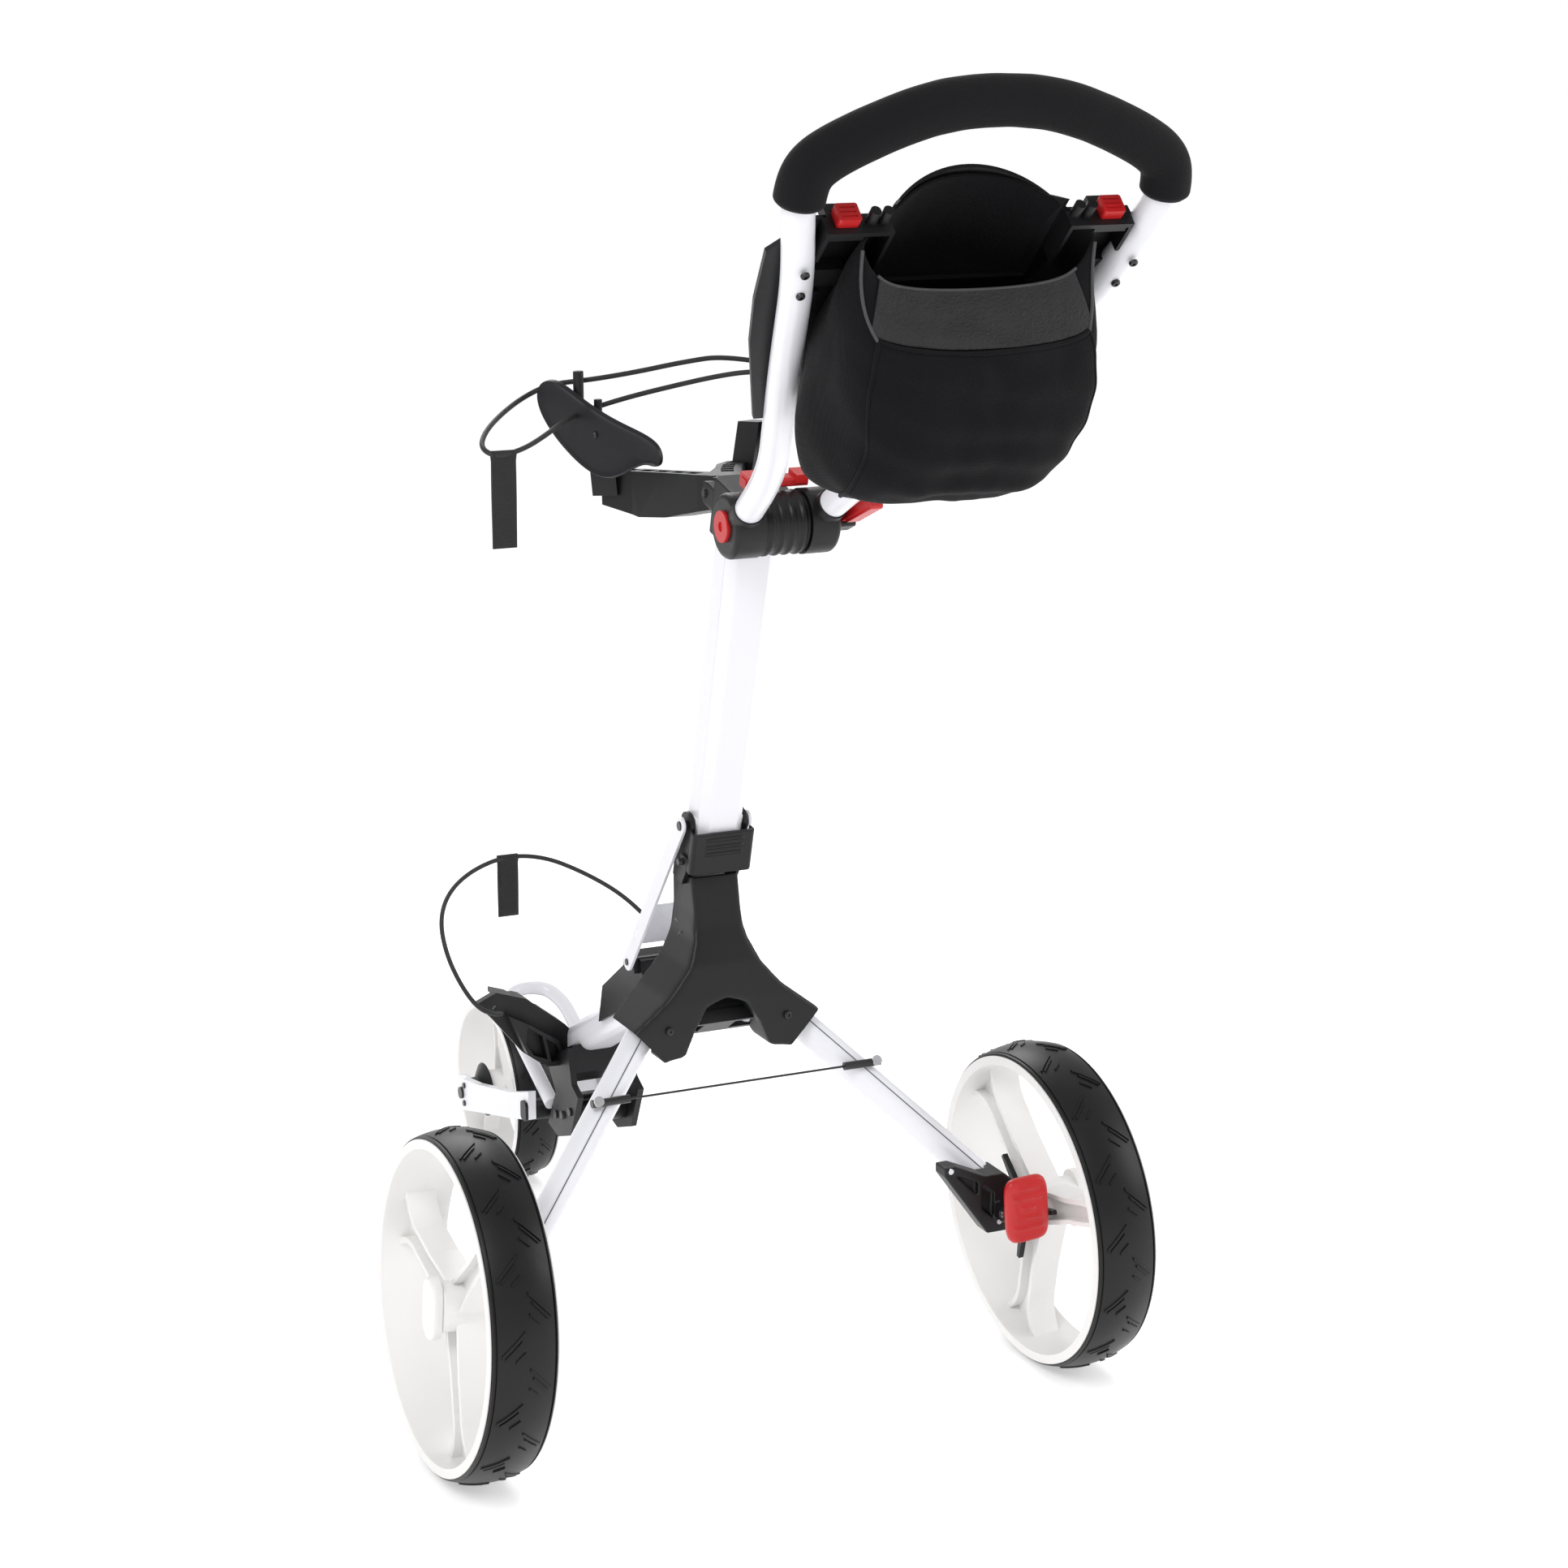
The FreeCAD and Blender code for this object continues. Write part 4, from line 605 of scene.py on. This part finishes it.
def pouch_skin(u, v, proud):
    """pouch_point with folds, lifted off the cloth by proud, in the row frame."""
    place = pouch_point(u, v)
    step = 0.05
    round_it = pouch_point(u + step, v) - pouch_point(u - step, v)
    down = pouch_point(u, min(v + step, LAST_RING)) - pouch_point(u, max(v - step, 0))
    out = round_it.cross(down).normalized()
    rear = max(0.0, 1 - abs(u - REAR) / 1.6)
    below_mouth = min(v, 1.0)
    slack = below_mouth * (1 - 0.5 * min(abs(v - 1), 1))
    folds = 0.0026 * noise.noise(Vector((place.x * 26, place.y * 12, place.z * 16)))
    folds += 0.0011 * noise.noise(Vector((place.x * 60 + 7, place.y * 34, place.z * 40)))
    folds += 0.0030 * rear * slack * math.sin(9 * v + 2.1 * u + 3 * noise.noise(place * 14))
    return CONSOLE @ (place + out * (folds * below_mouth + proud))


def pouch_patch(name, us, vs, proud, material, thickness):
    """A sheet that follows the pouch over the given u and v values, lifted off its cloth by proud. If it
    goes right round, its last row is closed."""
    closed = us[-1] - us[0] > AROUND - 1
    verts = [pouch_skin(u, v, proud) for v in vs for u in us]
    faces = grid_faces(len(vs), len(us), closed)
    if closed:
        faces.append(tuple(range(len(verts) - len(us), len(verts))))
    piece = mesh_piece(name, verts, faces, material, 60)
    thicken(piece, thickness, -1.0)
    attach(piece, "handle")
    return piece


def pouch_seam(name, route, radius, material):
    """A round seam through (u, v) places on the cloth."""
    uvs = bspline([Vector((u, v, 0)) for u, v in route], 80)
    path = [pouch_skin(p.x, p.y, 0.0010) for p in uvs]
    piece = sweep(name, path, [radius] * len(path), material, 10)
    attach(piece, "handle")


PANEL_EDGE = 1.12       # from the rear's middle to the rear panel's piped edge, in u
COLUMNS = 132
once_round = steps(0, AROUND - AROUND / COLUMNS, COLUMNS)
pouch = pouch_patch("pouch_bag", once_round, steps(0, LAST_RING, 84), 0.0, FABRIC, 0.0022)
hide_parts("pouch")
pouch_patch("pouch_net", steps(4.75, 7.25, 60), steps(0.02, 0.93, 30), 0.0014, MESH_FABRIC, 0.0010)
pouch_patch("pouch_panel", steps(4.9, 7.1, 60), steps(1.0, 5.2, 60), 0.0016, FABRIC, 0.0012)
for side_name, sign in SIDES:
    corner = REAR - PANEL_EDGE * sign
    piping = [(corner, 1.0), (corner, 2.2), (corner, 3.6), (corner, 5.2)]
    side_seam = [(REAR - 2.0 * sign, 0.03), (REAR - 1.7 * sign, 0.4), (corner, 1.0)]
    pouch_seam("pouch_piping_" + side_name, piping, 0.0017, FABRIC)
    pouch_seam("pouch_side_seam_" + side_name, side_seam, 0.0013, THREAD)
CROSS_SEAMS = [    # name, route, radius, material
    ("top", [(4.88, 0.98), (5.5, 0.99), (6, 0.99), (6.5, 0.99), (7.12, 0.98)], 0.0018, FABRIC),
    ("low", [(4.88, 5.2), (5.5, 5.35), (6, 5.4), (6.5, 5.35), (7.12, 5.2)], 0.0017, FABRIC),
]
for name, route, radius, material in CROSS_SEAMS:
    pouch_seam("pouch_piping_" + name, route, radius, material)
pouch_seam("pouch_hem", [(4.7, 0.0), (5.4, 0.0), (6, 0.0), (6.6, 0.0), (7.3, 0.0)], 0.0012, THREAD)

# ---- hub cover ----------------------------------------------------------------------------------
COVER_OUTLINE = [    # (x, z) of the right half, from the top of the neck round to the crotch
    (0.0225, 0.470), (0.0220, 0.425), (0.0250, 0.402), (0.0350, 0.380), (0.0540, 0.358), (0.0900, 0.330),
    (0.0650, 0.300), (0.0400, 0.304), (0.0310, 0.326), (0.0180, 0.346), (0.0, 0.352),
]
COVER_DEPTH = [    # (z, rear face, front edge), as places ahead of the rear axle
    (0.295, 0.081, 0.116), (0.325, 0.081, 0.133), (0.350, 0.083, 0.146), (0.385, 0.088, 0.152),
    (0.410, 0.100, 0.153), (0.454, 0.110, 0.155), (0.475, 0.115, 0.158),
]
COVER_TOP = 0.456
BLOCK_DEPTH = 0.06      # the depth of block that is drawn out to reach from rear face to front edge
BLOCK_OVER = 1.3        # the block is this many times as deep, until the trims cut it back
SLEEVE_END = Vector((0.0745, 0, 0.3170))      # middle of a leg sleeve's open end, seen from behind
SLEEVE_OUT = Vector((0.737, 0, -0.676))


def cover_depth(z):
    """The cover's rear face and front edge at a height."""
    for low, high in zip(COVER_DEPTH, COVER_DEPTH[1:]):
        if z <= high[0] or high is COVER_DEPTH[-1]:
            t = min(max((z - low[0]) / (high[0] - low[0]), 0.0), 1.0)
            return low[1] + (high[1] - low[1]) * t, low[2] + (high[2] - low[2]) * t


def apply_modifiers(piece):
    """Puts the piece's shape with its modifiers in place of its mesh."""
    graph = bpy.context.evaluated_depsgraph_get()
    data = bpy.data.meshes.new_from_object(piece.evaluated_get(graph), depsgraph=graph)
    piece.modifiers.clear()
    old = piece.data
    piece.data = data
    bpy.data.meshes.remove(old)


outline = COVER_OUTLINE + [(-x, z) for x, z in COVER_OUTLINE[-2::-1]]
verts = [Vector((x, y * BLOCK_DEPTH, z)) for y in (0.0, BLOCK_OVER) for x, z in outline]
size = len(outline)
faces = [tuple(range(size)), tuple(range(2 * size - 1, size - 1, -1))]
faces += [(i, size + i, size + (i + 1) % size, (i + 1) % size) for i in range(size)]
cover = mesh_piece("hub_shell", verts, faces, BLACK_PLASTIC)
even_mesh(cover, 0.0022)
apply_modifiers(cover)
for v in cover.data.vertices:
    rear, front = cover_depth(v.co.z)
    v.co.y = rear + (front - rear) * v.co.y / BLOCK_DEPTH + AXLE_Y
smooth_out(cover, 16)
apply_modifiers(cover)
shape = bmesh.new()
shape.from_mesh(cover.data)


def trim(point, normal):
    """Cuts the cover with a plane and drops what lies ahead of it, on its normal's side."""
    parts = shape.verts[:] + shape.edges[:] + shape.faces[:]
    bmesh.ops.bisect_plane(shape, geom=parts, plane_co=point, plane_no=normal, clear_outer=True)


trim(at(0, 0.150, 0.400), Vector((0, 1, 0)))
trim(at(0, 0.1290, 0.325), Vector((0, 0.844, -0.536)))
trim(Vector((0, 0, COVER_TOP)), Vector((0, 0, 1)))
for sign in (-1, 1):
    mirror = Vector((sign, 1, 1))
    trim(SLEEVE_END * mirror, SLEEVE_OUT * mirror)
shape.to_mesh(cover.data)
shape.free()
cover.data.shade_smooth()
thicken(cover, 0.0026, -1.0)
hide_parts("hub_cover")
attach(cover, "chassis")
for side_name, sign in SIDES:
    cover_screw = at(sign * 0.0240, 0.128, 0.400)
    sleeve_screw = at(sign * 0.0560, 0.0800, 0.3300)
    screw("cover_screw_" + side_name, cover_screw, (sign, -0.1, -0.1), 0.0040, BLACK_STEEL, "chassis")
    screw("sleeve_screw_" + side_name, sleeve_screw, (sign * 0.1, -1, 0.1), 0.0036, BLACK_STEEL, "chassis")

# ---- brake pedal --------------------------------------------------------------------------------
PEDAL_HALF_WIDE = 0.0205
PEDAL_HALF_HIGH = 0.0300
PEDAL_THICK = 0.0095
PEDAL_SQUARE = 0.42     # power of the superellipse: 1 is an ellipse, 0 a rectangle
FACE = 0.80             # the share of the outline that the ribbed face takes
RIB_HIGH = 0.0016
RIB_STEP = 0.0046       # half the distance from rib to rib
PEDAL_SIDES = 64


def pedal_ring(size):
    """The pedal's outline at a share of its full size, as (x, z)."""
    ring = []
    for i in range(PEDAL_SIDES):
        a = 2 * math.pi * i / PEDAL_SIDES
        x = math.copysign(abs(math.cos(a)) ** PEDAL_SQUARE, math.cos(a)) * PEDAL_HALF_WIDE * size
        z = math.copysign(abs(math.sin(a)) ** PEDAL_SQUARE, math.sin(a)) * PEDAL_HALF_HIGH * size
        ring.append((x, z))
    return ring


EDGE_RINGS = [    # (share of the thickness, share of the outline), from the pedal's back to its face
    (0.0, 0.90), (0.12, 0.97), (0.35, 1.0), (0.65, 1.0), (0.88, 0.97), (1.0, 0.90), (1.0, FACE),
]
FACE_RINGS = 14
verts = []
for depth, size in EDGE_RINGS:
    verts += [Vector((x, -depth * PEDAL_THICK, z)) for x, z in pedal_ring(size)]
for step in range(1, FACE_RINGS):
    size = FACE * (1 - step / FACE_RINGS)
    for x, z in pedal_ring(size):
        rib = RIB_HIGH * max(0.0, math.sin(z / RIB_STEP * math.pi)) * min(1.0, (FACE - size) * 8)
        verts.append(Vector((x, -PEDAL_THICK - rib, z)))
faces = grid_faces(len(EDGE_RINGS) + FACE_RINGS - 1, PEDAL_SIDES, True) + cap_faces(PEDAL_SIDES, len(verts))
pedal_place = Matrix.Translation(at(0.227, -0.043, 0.167)) @ Matrix.Rotation(math.radians(-4), 4, "Y")
pedal = mesh_piece("pedal_pad", [pedal_place @ v for v in verts], faces, RED_PLASTIC, 50)
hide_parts("brake_pedal")
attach(pedal, "brake_pedal")
pivot_path = [at(0.2175, -0.029, 0.157), at(0.227, -0.029, 0.157), at(0.2365, -0.029, 0.157)]
arm_path = [at(0.227, -0.030, 0.158), at(0.227, -0.038, 0.160), at(0.227, -0.046, 0.162)]
for number, (path, radius) in enumerate(((pivot_path, 0.0065), (arm_path, 0.0060))):
    link = sweep("pedal_link_%d" % number, path, [radius] * 3, RED_PLASTIC, 24)
    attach(link, "brake_pedal")

# ---- bag pads -----------------------------------------------------------------------------------
PAD_OUTLINE = [    # (x, z), the right pad's rim
    (0.049, 0.818), (0.050, 0.834), (0.062, 0.843), (0.075, 0.850), (0.090, 0.862), (0.102, 0.876),
    (0.110, 0.883), (0.1165, 0.876), (0.117, 0.858), (0.110, 0.836), (0.099, 0.816), (0.088, 0.803),
    (0.078, 0.802), (0.070, 0.809), (0.060, 0.819), (0.053, 0.816),
]
PAD_LEVELS = (1.0, 0.985, 0.96, 0.90, 0.80, 0.6, 0.4, 0.2, 0.05)      # shares of the rim, inwards
PAD_DISH = 0.0030       # how far the rim stands behind the pad's face
PAD_POSTS = {    # the pieces that carry the right pad: points, radius
    "hook": ([(0.090, 0.190, 0.850), (0.090, 0.190, 0.870), (0.090, 0.1905, 0.889)], 0.0045),
    "peg": ([(0.078, 0.176, 0.842), (0.078, 0.176, 0.854), (0.078, 0.176, 0.866)], 0.0035),
    "foot": ([(0.080, 0.176, 0.850), (0.086, 0.186, 0.853), (0.094, 0.194, 0.854)], 0.0052),
}
PAD_SCREW_X = 0.0865
PAD_SCREW_Z = 0.838


def pad_ahead(x):
    """How far ahead the pad's inner face lies at x, on the curve that holds the bag."""
    return 0.112 + (x - 0.052) * 1.48 + (x - 0.052) * (x - 0.085) * 5.9


def loop_points(points, count):
    """A smooth closed loop drawn towards its points."""
    size = len(points)
    out = []
    for i in range(count):
        t = size * i / count
        k = int(t)
        out.append(blend([points[(k + n) % size] for n in range(4)], t - k))
    return out


rim = loop_points([Vector(p) for p in PAD_OUTLINE], 96)
middle = sum(rim, Vector((0, 0))) / len(rim)
for side_name, sign in SIDES:
    verts = []
    for size in PAD_LEVELS:
        dish = PAD_DISH * (1 - min((1 - size) / 0.12, 1.0))
        for p in rim:
            q = middle + (p - middle) * size
            verts.append(at(sign * q.x, pad_ahead(q.x) - dish, q.y))
    faces = grid_faces(len(PAD_LEVELS), len(rim), True)
    faces.append(tuple(range(len(verts) - len(rim), len(verts))))
    pad = mesh_piece("pad_" + side_name, verts, faces, PAD_RUBBER, 60)
    thicken(pad, 0.0042, 0.0)
    round_edges(pad, 0.0018, 50)
    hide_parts("bag_pads")
    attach(pad, "bag_arm")
    for part, (route, radius) in PAD_POSTS.items():
        path = bspline([at(sign * x, y, z) for x, y, z in route], 9)
        ends = [0.8] + [1.0] * 7 + [0.8]
        post = sweep("pad_%s_%s" % (part, side_name), path, [radius * e for e in ends], PAD_RUBBER, 20)
        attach(post, "bag_arm")
    pad_screw = at(sign * PAD_SCREW_X, pad_ahead(PAD_SCREW_X) - 0.0022, PAD_SCREW_Z)
    screw("pad_screw_" + side_name, pad_screw, (-sign * 0.8, -0.6, 0), 0.0036, BLACK_STEEL, "bag_arm")

# ---- small fittings -----------------------------------------------------------------------------
for side_name, sign in SIDES:
    for number, (x, y) in enumerate(((0.1315, -0.018), (0.1270, 0.005))):
        origin = CONSOLE @ Vector((sign * x, y, -0.0119))
        screw("console_screw_%s_%d" % (side_name, number), origin, CONSOLE.to_3x3() @ Vector((0, 0, -1)),
              0.0034, BLACK_STEEL, "handle")

LEG_TOP = at(0.075, 0.1070, 0.3170)
LEG_FOOT = at(0.232, 0.0069, 0.1593)
LEG_REAR = Vector((0, -0.0136, 0.0087))        # from a leg's middle to its rear face
for side_name, sign in SIDES:
    top, foot = [Vector((sign * p.x, p.y, p.z)) + LEG_REAR for p in (LEG_TOP, LEG_FOOT)]
    line = sweep("leg_line_" + side_name, [top, (top + foot) / 2, foot], [0.0005] * 3, SEAM_DARK, 8)
    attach(line, "leg_" + side_name)
